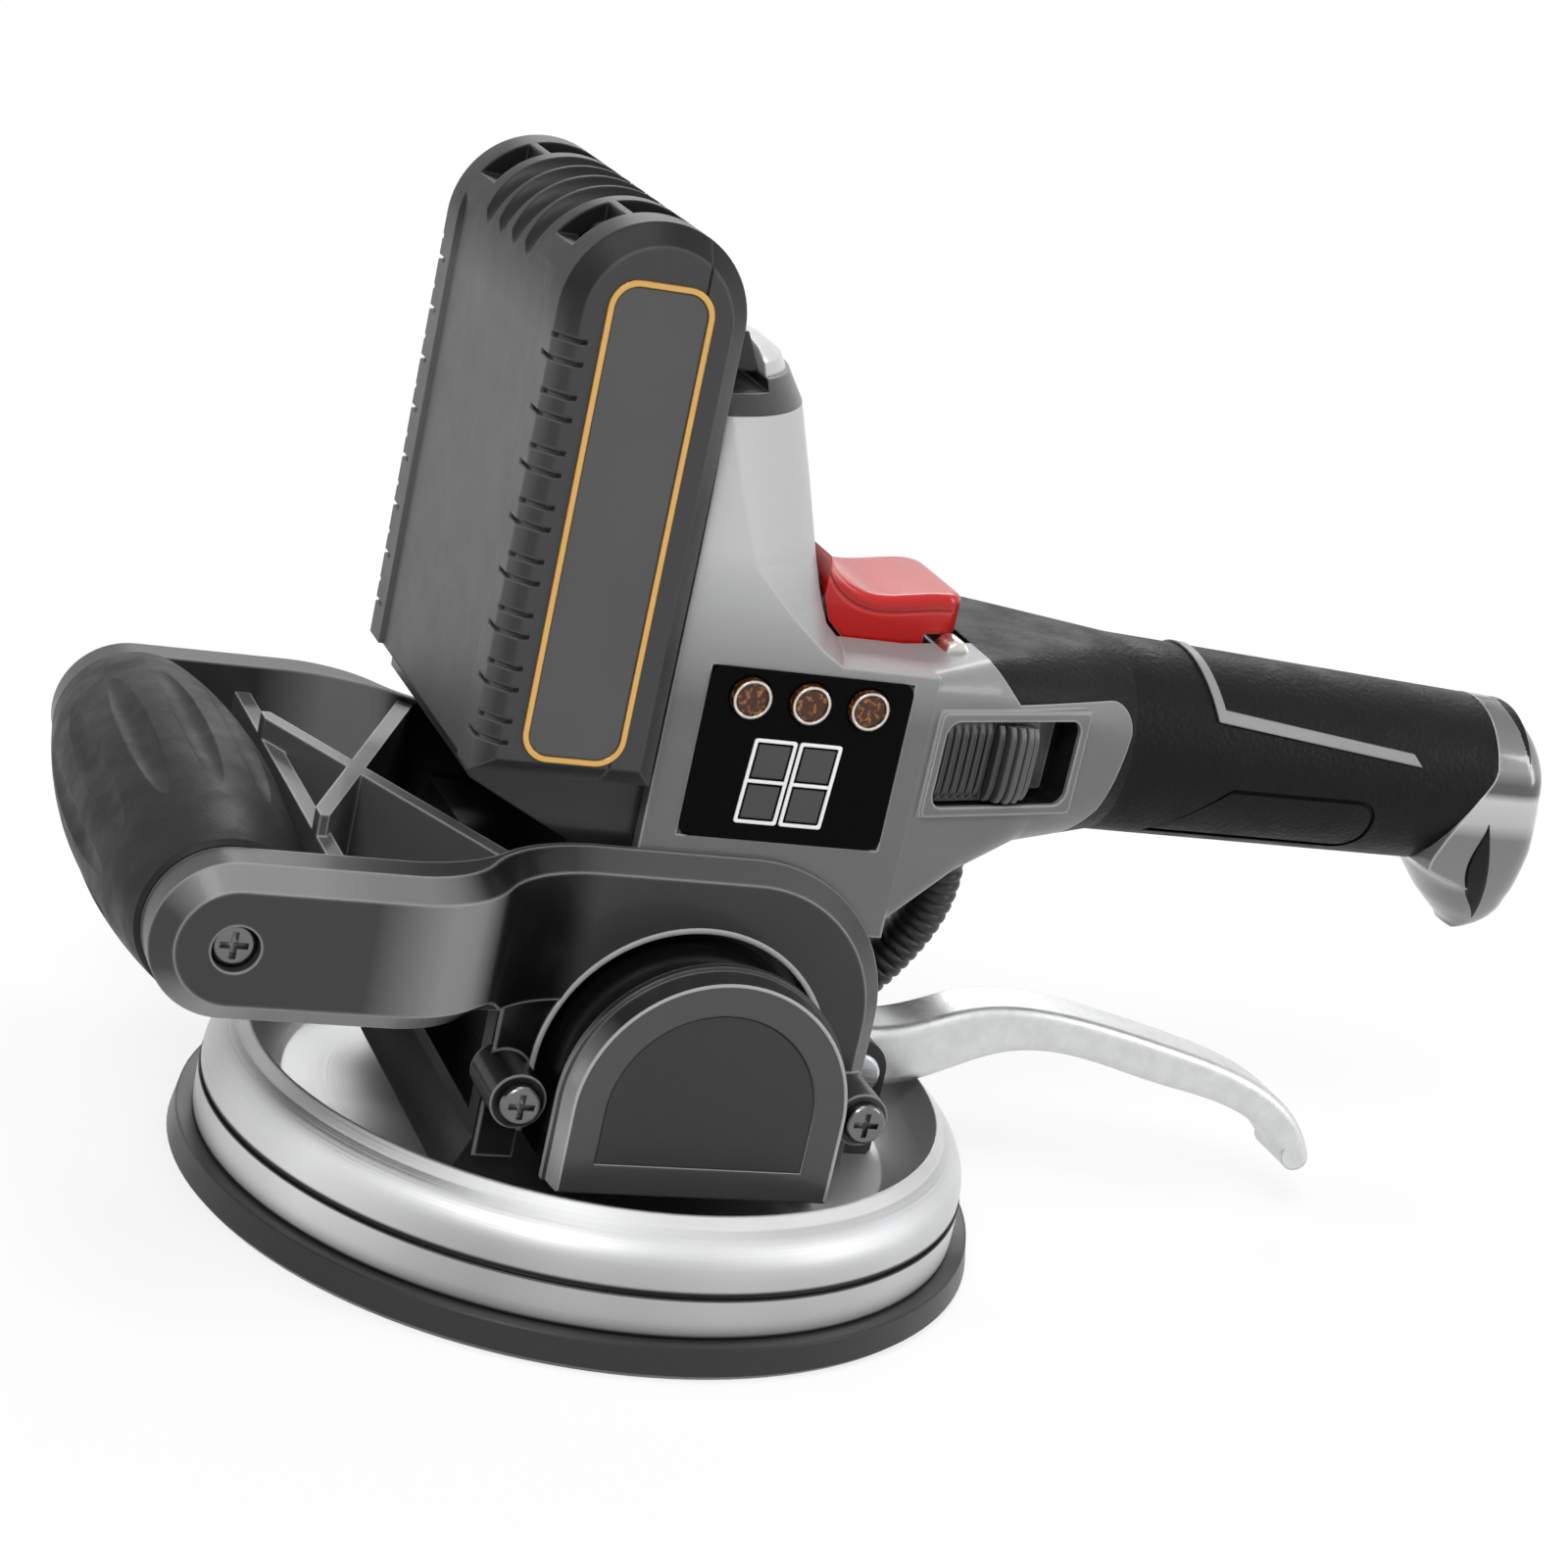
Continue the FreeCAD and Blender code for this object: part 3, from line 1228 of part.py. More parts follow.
def battery_foot():
    """Black shelf under the pack."""
    top = batt_z0 - slide_gap
    return prism_xz([(body_x0, top), (batt_x0 + 3, top), (batt_x0 + 3, top - 3.5),
                     (base_x0 + 6, base_top + 13), (body_x0, base_top + 8)], -half_w + 3, half_w - 3)


# ---------------------------------------------------------------- vacuum lever
def lever():
    """Curved hand lever: round hub, straight root, raised shoulder, drooping tail and short nose."""
    hub = cyl_y(lever_hub_r, -lever_half - 1, lever_half + 1, lever_x, lever_z)
    root_x = lever_x + 1.5

    def at(along, up):
        """Point of the outline, by the lever's reach and rise."""
        return lever_x + along * lever_reach, 0, lever_z + up * lever_rise

    root_top = (root_x, 0, lever_z + lever_hub_r)
    root_low = (root_x, 0, lever_z - 0.78 * lever_hub_r)
    tip_top = at(1.0, -1.32)
    tip_low = at(0.94, -1.44)
    top = spline([root_top, at(0.14, 0.67), at(0.238, 0.974), at(0.406, 1.0), at(0.63, 0.574),
                  at(0.816, 0.07), at(0.9375, -0.557), tip_top])
    bottom = spline([tip_low, at(0.863, -0.817), at(0.63, -0.174), at(0.406, 0.261), at(0.3125, 0.191),
                     at(0.168, -0.348), root_low])
    outline = Part.Wire([line(root_low, root_top), top, arc(tip_top, at(0.9776, -1.635), tip_low), bottom])
    blade = Part.Face(outline).extrude(V(0, 2 * lever_half, 0))
    blade.translate(V(0, -lever_half, 0))
    long_edges = [e for e in blade.Edges if e.Length > lever_reach / 2]
    blade = blade.makeFillet(lever_round, long_edges)
    nose_low = lever_z - nose_drop - nose_r
    nose = prism_xz([(lever_x - nose_x, nose_low), (lever_x - nose_x, nose_low + 2 * nose_r),
                     (lever_x, lever_z + 4), (lever_x, nose_low)], -nose_half, nose_half)
    tip = cyl_y(nose_r, -nose_half, nose_half, lever_x - nose_x, lever_z - nose_drop)
    return fuse(hub, blade, nose, tip).cut(cyl_y(pin_r + run_gap, -20, 20, lever_x, lever_z))


def lever_bracket():
    """Black bracket on the bowl's floor: foot, two ears and the plunger's guide."""
    x0 = base_x1
    foot = box(x0, bracket_x1, -bracket_half, bracket_half, floor_z, floor_z + bracket_foot)
    corners = [e for e in foot.Edges if e.BoundBox.ZLength > 1 and middle(e).x > x0 + 1]
    foot = foot.makeFillet(5.0, corners)
    ears = []
    for side in (-1, 1):
        y0 = side * (lever_half + 1 + slide_gap)
        y1 = side * bracket_half
        low, high = min(y0, y1), max(y0, y1)
        ears.append(box(lever_x - ear_r, lever_x + ear_r, low, high, floor_z, lever_z))
        ears.append(cyl_y(ear_r, low, high, lever_x, lever_z))
    holes = [cyl_y(pin_r, -20, 20, lever_x, lever_z),
             cyl_z(plunger_r + run_gap, floor_z - 1, lever_z, plunger_x)]
    return fuse(foot, *ears).cut(Part.makeCompound(holes))


def lever_pin():
    """Pivot pin with a washer and a head outside each ear."""
    head = cyl_y(pin_r + 1.4, -bracket_half - 2.4, -bracket_half, lever_x, lever_z)
    head = head.makeChamfer(0.5, [e for e in head.Edges if abs(middle(e).y + bracket_half + 2.4) < 0.01])
    pin = cyl_y(pin_r, -bracket_half - 1, bracket_half + 1, lever_x, lever_z)
    return fuse(pin, head, mirror_y(head))


def release_plunger():
    """Vent valve: cap under the lever's nose, stem through the cup and a sealing head."""
    ceiling = floor_z - dish_wall
    cap = cyl_z(plunger_cap_r, plunger_top - 2.5, plunger_top, plunger_x)
    stem = cyl_z(plunger_r, ceiling - 1.0, plunger_top - 2.5, plunger_x)
    head = cyl_z(plunger_head_r, ceiling - 1.2, ceiling - seat_gap, plunger_x)
    return fuse(cap, stem, head)


# ---------------------------------------------------------------- hose
def hose_route():
    """Points of the short air hose, from the neck's underside to the bowl's floor."""
    foot_x = base_x1 + hose_r + hose_side
    middle_x = (hose_x + foot_x) / 2 + 1.25
    return [V(hose_x, 13, grip_z - grip_r - 1.5), V(hose_x + 1.5, 14, 66), V(hose_x - 0.5, 16, 52),
            V(middle_x, 19, 39), V(foot_x + 3, 21, 29), V(foot_x, 21.5, floor_z + 6)]


def tube(points, r):
    """Tube along straight runs joined by tangent arcs."""
    edges = []
    start = points[0]
    for i in range(1, len(points) - 1):
        corner = points[i]
        back = points[i - 1] - corner
        ahead = points[i + 1] - corner
        trim = 0.45 * min(back.Length, ahead.Length)
        back.normalize()
        ahead.normalize()
        half_angle = back.getAngle(ahead) / 2
        radius = trim * math.tan(half_angle)
        bisector = (back + ahead).normalize()
        arc_start = corner + back * trim
        arc_middle = corner + bisector * (radius / math.sin(half_angle) - radius)
        arc_end = corner + ahead * trim
        edges.append(Part.LineSegment(start, arc_start).toShape())
        edges.append(Part.Arc(arc_start, arc_middle, arc_end).toShape())
        start = arc_end
    edges.append(Part.LineSegment(start, points[-1]).toShape())
    ring = Part.Wire(Part.makeCircle(r, points[0], points[1] - points[0]))
    return Part.Wire(edges).makePipeShell([ring], True, True)


def vacuum_hose():
    return tube(hose_route(), hose_r)


def hose_nipple(end, neighbour, length):
    """Collar that carries a hose end, in line with the hose."""
    return Part.makeCylinder(hose_r + nipple_t, length, end, end - neighbour)


def upper_nipple():
    route = hose_route()
    return hose_nipple(route[0], route[1], nipple_len)


def hose_fittings():
    """Collars at both ends of the hose; the lower one is cut level with the bowl's floor."""
    route = hose_route()
    low = hose_nipple(route[-1], route[-2], foot_len)
    above = cyl_z(bowl_r, floor_z, base_top)
    return Part.makeCompound([upper_nipple(), low.common(above)])


# ---------------------------------------------------------------- build
def main():
    os.makedirs("parts", exist_ok=True)
    whole = housing()
    left_space = box(-200, 300, -200, 0, -50, 400)
    frame = side_frame()
    cap = end_cap()
    panel = cap_panel()
    weight = eccentric_weight()
    trim = battery_trim()
    parts = {
        "suction_pad": suction_pad(),
        "cup_dish": cup_dish(),
        "base_frame": base_frame(),
        "side_frame_left": frame,
        "side_frame_right": mirror_y(frame),
        "frame_screws": frame_screws(),
        "cross_brace": cross_brace(),
        "vibrator_case": vibrator_case(),
        "end_cap_left": cap,
        "end_cap_right": mirror_y(cap),
        "cap_panel_left": panel,
        "cap_panel_right": mirror_y(panel),
        "motor_can": motor_can(),
        "motor_bearings": motor_bearings(),
        "motor_shaft": motor_shaft(),
        "rotor_core": rotor_core(),
        "eccentric_weight_left": weight,
        "eccentric_weight_right": mirror_y(weight),
        "grip_core": grip_core(),
        "grip_sleeve": grip_sleeve(),
        "arm_screws": arm_screws(),
        "housing_left": whole.common(left_space),
        "housing_right": whole.cut(left_space),
        "tower_collar": tower_collar(),
        "tower_cap": tower_cap(),
        "handle_sleeve": handle_sleeve(),
        "handle_trim": handle_trim(),
        "handle_end_cap": handle_end_cap(),
        "display_panel": display_panel(),
        "display_digits": display_digits(),
        "button_board": button_board(),
        "vacuum_pump": vacuum_pump(),
        "switch_slider": switch_slider(),
        "paddle_trigger": paddle_trigger(),
        "paddle_hinge_pin": paddle_hinge_pin(),
        "paddle_pin": paddle_pin(),
        "battery_case_front": battery_half(True),
        "battery_case_rear": battery_half(False),
        "battery_trim_left": trim,
        "battery_trim_right": mirror_y(trim),
        "battery_cells": battery_cells(),
        "battery_latch": battery_latch(),
        "battery_dock": battery_dock(),
        "battery_foot": battery_foot(),
        "lever": lever(),
        "lever_bracket": lever_bracket(),
        "lever_pin": lever_pin(),
        "release_plunger": release_plunger(),
        "vacuum_hose": vacuum_hose(),
        "hose_fittings": hose_fittings(),
    }
    for i in range(3):
        parts["panel_button_%d" % (i + 1)] = panel_button(i)
    for name, shape in parts.items():
        export(name, shape)


main()
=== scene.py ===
"""Looks of the floor tile suction lifter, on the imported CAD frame.

Pieces are laid out in millimetres and scaled by MM. Camera, floor and lamps are in metres.
"""
import json
import math
import bpy
import bmesh
from mathutils import Matrix, Vector
from mathutils.bvhtree import BVHTree


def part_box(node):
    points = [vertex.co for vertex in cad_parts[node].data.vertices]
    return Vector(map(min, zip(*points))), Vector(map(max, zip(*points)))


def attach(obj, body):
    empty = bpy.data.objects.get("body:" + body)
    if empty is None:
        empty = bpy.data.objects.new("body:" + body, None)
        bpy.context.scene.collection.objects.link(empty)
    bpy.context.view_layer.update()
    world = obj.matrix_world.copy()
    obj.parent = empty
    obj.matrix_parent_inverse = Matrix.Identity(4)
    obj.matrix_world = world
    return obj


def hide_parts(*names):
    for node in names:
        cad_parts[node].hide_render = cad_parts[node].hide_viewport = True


MM = 0.001
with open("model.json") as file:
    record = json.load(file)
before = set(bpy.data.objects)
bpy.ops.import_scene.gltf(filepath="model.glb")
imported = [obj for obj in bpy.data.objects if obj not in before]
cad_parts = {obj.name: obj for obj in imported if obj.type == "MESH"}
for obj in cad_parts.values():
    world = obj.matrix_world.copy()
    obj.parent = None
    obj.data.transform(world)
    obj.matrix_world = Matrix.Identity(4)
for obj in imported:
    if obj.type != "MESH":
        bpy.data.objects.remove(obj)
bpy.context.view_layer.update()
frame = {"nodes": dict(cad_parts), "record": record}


# ---------------------------------------------------------------- camera
def make_camera():
    """Camera on the display side, turned, tilted down and rolled."""
    turn = math.radians(-23.38)
    tilt = math.radians(17.41)
    roll = math.radians(12.71)
    back = Vector((math.sin(turn) * math.cos(tilt), -math.cos(turn) * math.cos(tilt), math.sin(tilt)))
    right = Vector((math.cos(turn), math.sin(turn), 0))
    up = back.cross(right)
    right_rolled = right * math.cos(roll) + up * math.sin(roll)
    up_rolled = up * math.cos(roll) - right * math.sin(roll)
    axes = Matrix((right_rolled, up_rolled, back)).transposed()
    place = (-0.21407, -0.55305, 0.27112)
    data = bpy.data.cameras.new("camera")
    data.lens = 78.75           # millimetres, as is the sensor
    data.sensor_width = 36
    camera = bpy.data.objects.new("camera", data)
    camera.matrix_world = Matrix.Translation(place) @ axes.to_4x4()
    bpy.context.scene.collection.objects.link(camera)
    bpy.context.scene.camera = camera


# ---------------------------------------------------------------- materials
def grey(value):
    """Slightly cool grey."""
    return (value, value * 1.005, value * 1.015)


def level(value):
    """One number as a colour, for masks and roughness."""
    return (value, value, value)


class NodeTree:
    """A node tree with short ways to add, link and reckon."""

    def __init__(self, tree):
        self.tree = tree

    def node(self, kind, **settings):
        made = self.tree.nodes.new(kind)
        for key, value in settings.items():
            setattr(made, key, value)
        return made

    def link(self, a, b):
        self.tree.links.new(a, b)

    def calc(self, operation, *terms):
        """Result of a maths node; each term is a socket or a float."""
        made = self.node("ShaderNodeMath", operation=operation)
        for socket, term in zip(made.inputs, terms):
            if isinstance(term, float):
                socket.default_value = term
            else:
                self.link(term, socket)
        return made.outputs[0]


class Shader(NodeTree):
    """A principled material and the few node patterns that the materials below share."""

    def __init__(self, name, color, rough, metal=0.0, coat=0.0, specular=0.3):
        self.name = name
        self.mat = bpy.data.materials.new(name)
        self.mat.use_nodes = True
        super().__init__(self.mat.node_tree)
        self.bsdf = self.tree.nodes["Principled BSDF"]
        self.put("Base Color", (*color, 1))
        self.put("Roughness", rough)
        self.put("Metallic", metal)
        self.put("Coat Weight", coat)
        self.put("Coat Roughness", 0.06)
        self.put("Specular IOR Level", specular)
        self.tone = None

    def put(self, socket, value):
        self.bsdf.inputs[socket].default_value = value

    def axes(self, vector):
        """Parts of a vector, by the name of their axis."""
        split = self.node("ShaderNodeSeparateXYZ")
        self.link(vector, split.inputs[0])
        return split.outputs

    def combine(self, **parts):
        """Vector from sockets named by axis."""
        made = self.node("ShaderNodeCombineXYZ")
        for axis, socket in parts.items():
            self.link(socket, made.inputs[axis])
        return made.outputs[0]

    def length(self, vector):
        made = self.node("ShaderNodeVectorMath", operation="LENGTH")
        self.link(vector, made.inputs[0])
        return made.outputs["Value"]

    def place(self, scale=(1, 1, 1)):
        """Object coordinates in millimetres, stretched by scale."""
        coords = self.node("ShaderNodeTexCoord")
        mapping = self.node("ShaderNodeMapping")
        mapping.inputs["Scale"].default_value = [s / MM for s in scale]
        self.link(coords.outputs["Object"], mapping.inputs["Vector"])
        return mapping.outputs["Vector"]

    def along(self, axis, mirror=False):
        """One object coordinate in millimetres; mirror drops its sign."""
        value = self.axes(self.place())[axis]
        return self.calc("ABSOLUTE", value) if mirror else value

    def facing(self, axis):
        """How far a face turns along an axis, either way, from 0 to 1."""
        coords = self.node("ShaderNodeTexCoord")
        return self.calc("ABSOLUTE", self.axes(coords.outputs["Normal"])[axis])

    def noise(self, vector, scale, detail=3.0, rough=0.6):
        made = self.node("ShaderNodeTexNoise")
        made.inputs["Scale"].default_value = scale
        made.inputs["Detail"].default_value = detail
        made.inputs["Roughness"].default_value = rough
        self.link(vector, made.inputs["Vector"])
        return made.outputs["Fac"]

    def ramp(self, value, stops):
        """Colour ramp; stops are (position, colour) pairs."""
        made = self.node("ShaderNodeValToRGB")
        points = made.color_ramp.elements
        while len(points) < len(stops):
            points.new(0.5)
        for point, (position, color) in zip(points, stops):
            point.position = position
            point.color = (*color, 1)
        self.link(value, made.inputs["Fac"])
        return made.outputs["Color"]

    def spread(self, value, low, high):
        """Maps the range from low to high onto 0 to 1."""
        made = self.node("ShaderNodeMapRange")
        made.inputs["From Min"].default_value = low
        made.inputs["From Max"].default_value = high
        self.link(value, made.inputs["Value"])
        return made.outputs["Result"]

    def bands(self, value, stops):
        """Colours at given values, blended between them; stops are (value, colour) in rising order."""
        low, high = stops[0][0], stops[-1][0]
        shares = [((at - low) / (high - low), color) for at, color in stops]
        return self.ramp(self.spread(value, low, high), shares)

    def blend(self, factor, first, second):
        """Mix of two colours; each of the three may be a socket or a plain value."""
        mix = self.node("ShaderNodeMix", data_type="RGBA")
        for socket, value in ((mix.inputs[0], factor), (mix.inputs[6], first), (mix.inputs[7], second)):
            if isinstance(value, tuple):
                socket.default_value = (*value, 1)
            elif isinstance(value, float):
                socket.default_value = value
            else:
                self.link(value, socket)
        return mix.outputs[2]

    def paint(self, value):
        """Sets the colour so far, which later steps change again."""
        self.tone = value
        self.link(value, self.bsdf.inputs["Base Color"])

    def paint_over(self, mask, color):
        """Another colour where a mask is bright."""
        self.paint(self.blend(mask, self.tone, color))

    def mottle(self, color, amount, scale=0.05):
        """Slow change of the colour over the surface."""
        low = tuple(c * (1 - amount) for c in color)
        high = tuple(min(1, c * (1 + amount)) for c in color)
        self.paint(self.ramp(self.noise(self.place(), scale), [(0.35, low), (0.65, high)]))

    def fade(self, axis, low, high, color, mirror=False):
        """Turns the colour into another between two places along an axis, in millimetres."""
        self.paint_over(self.spread(self.along(axis, mirror), low, high), color)

    def edges(self, color, radius, start=0.004, end=0.06, amount=1.0):
        """Another colour on edges, found where a rounded normal leaves the true one."""
        rounded = self.node("ShaderNodeBevel", samples=6)
        rounded.inputs["Radius"].default_value = radius * MM
        geometry = self.node("ShaderNodeNewGeometry")
        both = self.node("ShaderNodeVectorMath", operation="DOT_PRODUCT")
        self.link(rounded.outputs["Normal"], both.inputs[0])
        self.link(geometry.outputs["Normal"], both.inputs[1])
        mask = self.spread(both.outputs["Value"], 1 - start, 1 - end)
        self.paint_over(self.calc("MULTIPLY", mask, amount), color)

    def slanted(self, color):
        """Another colour, plain or a socket, on faces that turn both outwards along Y and up or down."""
        tilt = self.calc("MULTIPLY", self.facing("Y"), self.facing("Z"))
        self.paint_over(self.spread(tilt, 0.2, 0.48), color)

    def sheen(self, angle, share):
        """Painted reflection: light and dark sectors of a turned cup around its axis; the angle is in
        radians.
        """
        return self.bands(angle, [(math.radians(a), grey(tone * share)) for a, tone in CUP_SHEEN])

    def patchy(self, low, high, scale=0.12):
        """Roughness that changes with fine smudges."""
        value = self.ramp(self.noise(self.place(), scale, 5), [(0.35, level(low)), (0.65, level(high))])
        self.link(value, self.bsdf.inputs["Roughness"])

    def lines(self, vector, scale, detail, low, high):
        """Roughness that changes in fine lines."""
        value = self.ramp(self.noise(vector, scale, detail), [(0.3, level(low)), (0.7, level(high))])
        self.link(value, self.bsdf.inputs["Roughness"])

    def grain(self, scale, height, soften=0.0, vector=None):
        """Moulded texture as bump, over slightly softened edges."""
        bump = self.node("ShaderNodeBump")
        bump.inputs["Strength"].default_value = 1.0
        bump.inputs["Distance"].default_value = height * MM
        self.link(self.noise(vector or self.place(), scale, 4), bump.inputs["Height"])
        if soften:
            edge = self.node("ShaderNodeBevel", samples=4)
            edge.inputs["Radius"].default_value = soften * MM
            self.link(edge.outputs["Normal"], bump.inputs["Normal"])
        self.link(bump.outputs["Normal"], self.bsdf.inputs["Normal"])
        return bump


def plastic(name, color, rough, coat=0.0, grain=0.02, soften=0.5, specular=0.3):
    """Moulded plastic, slightly mottled, smudged and grained."""
    shader = Shader(name, color, rough, coat=coat, specular=specular)
    shader.mottle(color, 0.04)
    shader.patchy(rough * 0.92, min(1, rough * 1.08))
    shader.grain(1.2, grain, soften)
    return shader


def metal(name, color, rough):
    """Metal with fine lines along X."""
    shader = Shader(name, color, rough, metal=1.0)
    shader.mottle(color, 0.03, 0.1)
    brushed = shader.place((0.02, 1.0, 1.0))
    shader.lines(brushed, 2.0, 2, rough * 0.75, rough * 1.3)
    shader.grain(2.0, 0.006, 0.4, brushed)
    return shader


# Painted reflection: tone of the cup at angles about Z, in degrees.
CUP_SHEEN = ((-180, 0.52), (-150, 0.74), (-130, 0.5), (-120, 0.42), (-100, 0.46), (-60, 0.53), (-15, 0.7),
             (20, 0.8), (65, 0.44), (105, 0.66), (140, 0.48), (180, 0.52))
# Painted shade on the cup's outside at heights in millimetres: in its foot and in its turned groove.
CUP_GROOVE_SHADE = ((6, 0.94), (6.5, 0.94), (6.9, 0.0), (13.1, 0.0), (13.4, 0.94), (14.6, 0.94), (15.1, 0.0),
               (26, 0.0))


def spun_metal(name, color, rough):
    """Turned metal: fine rings about Z, painted reflection in light and dark sectors around it, and painted
    shade in the foot and the turned groove low on the rim.
    """
    shader = Shader(name, color, rough, metal=1.0)
    axes = shader.axes(shader.place())
    radius = shader.length(shader.combine(X=axes["X"], Y=axes["Y"]))
    rings = shader.combine(X=radius, Y=axes["Z"])
    shader.lines(rings, 3.0, 3, rough * 0.85, rough * 1.2)
    angle = shader.calc("ARCTAN2", axes["Y"], axes["X"])
    # painted reflection: the sheen sectors at two strengths, blended in a streaky pattern around the axis
    sheen_streaks = shader.spread(shader.noise(shader.combine(X=angle), 2.5, 1, 0.3), 0.3, 0.7)
    shader.paint(shader.blend(sheen_streaks, shader.sheen(angle, 0.88), shader.sheen(angle, 1.0)))
    # painted shade in the foot and the turned groove, on the outside only
    groove_shade = shader.bands(axes["Z"], [(z, level(share)) for z, share in CUP_GROOVE_SHADE])
    outside = shader.spread(radius, 62, 66)
    shader.paint_over(shader.calc("MULTIPLY", groove_shade, outside), grey(0.02))
    shader.grain(3.0, 0.003, 0.6, rings)
    tangent = shader.node("ShaderNodeTangent", direction_type="RADIAL", axis="Z")
    shader.link(tangent.outputs[0], shader.bsdf.inputs["Tangent"])
    shader.put("Anisotropic", 0.4)
    return shader


def battery_shell(name, face, rough):
    """Front or rear shell of the pack: grey faces, darker bevels, painted shade that makes the crown near
    black, grey narrow ends, and painted highlights on the edges.
    """
    shader = plastic(name, face, rough, soften=0.7, grain=0.03, specular=0.2)
    shader.fade("Y", 35.5, 38.5, grey(0.032), mirror=True)
    # painted highlights on the edges
    shader.edges(grey(0.13), 0.7, amount=0.6)
    # painted shade: the crown near black
    shader.fade("Z", 164, 175, grey(0.008))
    shader.fade("Y", 39.5, 39.8, grey(0.045), mirror=True)
    # painted highlights in a wider band along the edges
    shader.edges(grey(0.1), 0.5, start=0.05, end=0.2, amount=0.5)
    return shader


def shell_plastic():
    """Housing: dark grey low down, painted light that makes the tower lighter, and painted highlights on the
    edges.
    """
    shader = plastic("housing_plastic", grey(0.12), 0.36, coat=0.1, soften=1.0)
    # painted light: lighter upwards over the tower
    shader.fade("Z", 106, 134, grey(0.46))
    # painted highlights on the edges
    shader.edges(grey(0.5), 0.8, amount=0.6)
    return shader


# Share of the painted pale and black reflections on the arm's outer face, at places along X.
PALE_BAND = ((-64, 0.0), (-51, 1.0), (-40.5, 1.0), (-38, 0.0), (-20, 0.0))
BLACK_BAND = ((-39.76, 0.0), (-37.24, 0.95), (-25.36, 0.95), (-19.6, 0.0))


def frame_paint():
    """Side frames: gunmetal faces, painted highlights on the bevels and edges, painted black reflection where
    the faces turn at the arm's bend, and a painted pale and black reflection on the arm's outer face.
    """
    shader = plastic("frame_plastic", grey(0.036), 0.3, coat=0.1, soften=0.8, specular=0.2)
    # painted highlights on bevels that turn along both Y and Z, brighter towards the arm's end
    shader.slanted(shader.blend(shader.spread(shader.along("X"), -75, -40), grey(0.2), grey(0.06)))
    # painted black reflection on faces turned along X near the arm's bend
    bend = shader.calc("COMPARE", shader.along("X"), -45.0, 26.0)
    turned = shader.spread(shader.facing("X"), 0.08, 0.4)
    shader.paint_over(shader.calc("MULTIPLY", turned, bend), grey(0.004))
    outer_face = shader.spread(shader.facing("Y"), 0.55, 0.8)
    # painted pale and black reflections on the arm's outer face
    for tone, band in ((0.2, PALE_BAND), (0.003, BLACK_BAND)):
        share = shader.bands(shader.along("X"), [(x, level(value)) for x, value in band])
        shader.paint_over(shader.calc("MULTIPLY", outer_face, share), grey(tone))
    # painted highlights on the edges
    shader.edges(grey(0.38), 0.8, amount=0.7)
    return shader


def leather_rubber(name, color, scale, height):
    """Rubber with a fine leather grain."""
    shader = Shader(name, color, 0.5, specular=0.12)
    shader.mottle(color, 0.1, 0.08)
    shader.patchy(0.42, 0.58)
    cells = shader.node("ShaderNodeTexVoronoi", feature="SMOOTH_F1")
    cells.inputs["Scale"].default_value = scale
    shader.link(shader.place(), cells.inputs["Vector"])
    bump = shader.grain(2.0, 0.02, 0.5)
    leather = shader.node("ShaderNodeBump")
    leather.inputs["Distance"].default_value = height * MM
    shader.link(cells.outputs["Distance"], leather.inputs["Height"])
    shader.link(bump.outputs["Normal"], leather.inputs["Normal"])
    shader.link(leather.outputs["Normal"], shader.bsdf.inputs["Normal"])
    return shader


def paddle_red():
    """Trigger: deep red with a painted highlight that makes its top paler, and painted highlights on its
    edges.
    """
    shader = plastic("trigger_red", (0.44, 0.006, 0.006), 0.24, coat=0.3, soften=1.2, specular=0.25)
    # painted highlight: paler top
    shader.fade("Z", 124.5, 127.2, (0.6, 0.17, 0.16))
    # painted highlights on the edges
    shader.edges((0.75, 0.09, 0.08), 0.8, amount=0.5)
    return shader


def cap_rim():
    """Tunnel end cap: dark grey face, and sides with painted light that makes them pale below and painted
    shade that darkens them at the top, with painted highlights on the edges.
    """
    shader = plastic("cap_plastic", grey(0.42), 0.3, coat=0.15, soften=0.6)
    # painted light below and painted shade at the top of the sides
    shader.fade("Z", 34, 56, grey(0.02))
    # painted highlights on the edges
    shader.edges(grey(0.3), 0.4, amount=0.6)
    shader.paint_over(shader.spread(shader.facing("Y"), 0.9, 0.97), grey(0.052))
    return shader


def thumb_black():
    """Switch thumb: black, with paler ribs on its bulge and painted highlights on its edges."""
    shader = plastic("switch_black", grey(0.022), 0.34, soften=0.25, specular=0.3)
    shader.fade("X", 52, 56, grey(0.07))
    # painted highlights on the edges
    shader.edges(grey(0.16), 0.3, amount=0.6)
    return shader


def brace():
    """Cross brace: dark webs with painted highlights on their edges."""
    shader = plastic("brace_plastic", grey(0.09), 0.34, coat=0.2)
    # painted highlights on the edges
    shader.edges(grey(0.4), 0.7, amount=0.9)
    return shader


def lever_metal():
    """Satin cast lever with a fine sandy grain and painted shade on its edges."""
    color = (0.6, 0.605, 0.61)
    shader = Shader("lever_metal", color, 0.42, metal=1.0)
    shader.mottle(color, 0.05, 0.3)
    shader.patchy(0.36, 0.5, 0.8)
    # painted shade on the edges
    shader.edges(grey(0.32), 0.5, amount=0.5)
    shader.grain(3.0, 0.02, 0.8)
    return shader


def gold_line():
    """Border line: bright gold along its middle, with painted shade in dark brown at its edges."""
    shader = metal("battery_gold", (0.66, 0.4, 0.13), 0.34)
    # painted shade in dark brown at the edges
    shader.edges((0.16, 0.055, 0.012), 0.42, start=0.02, end=0.2)
    return shader


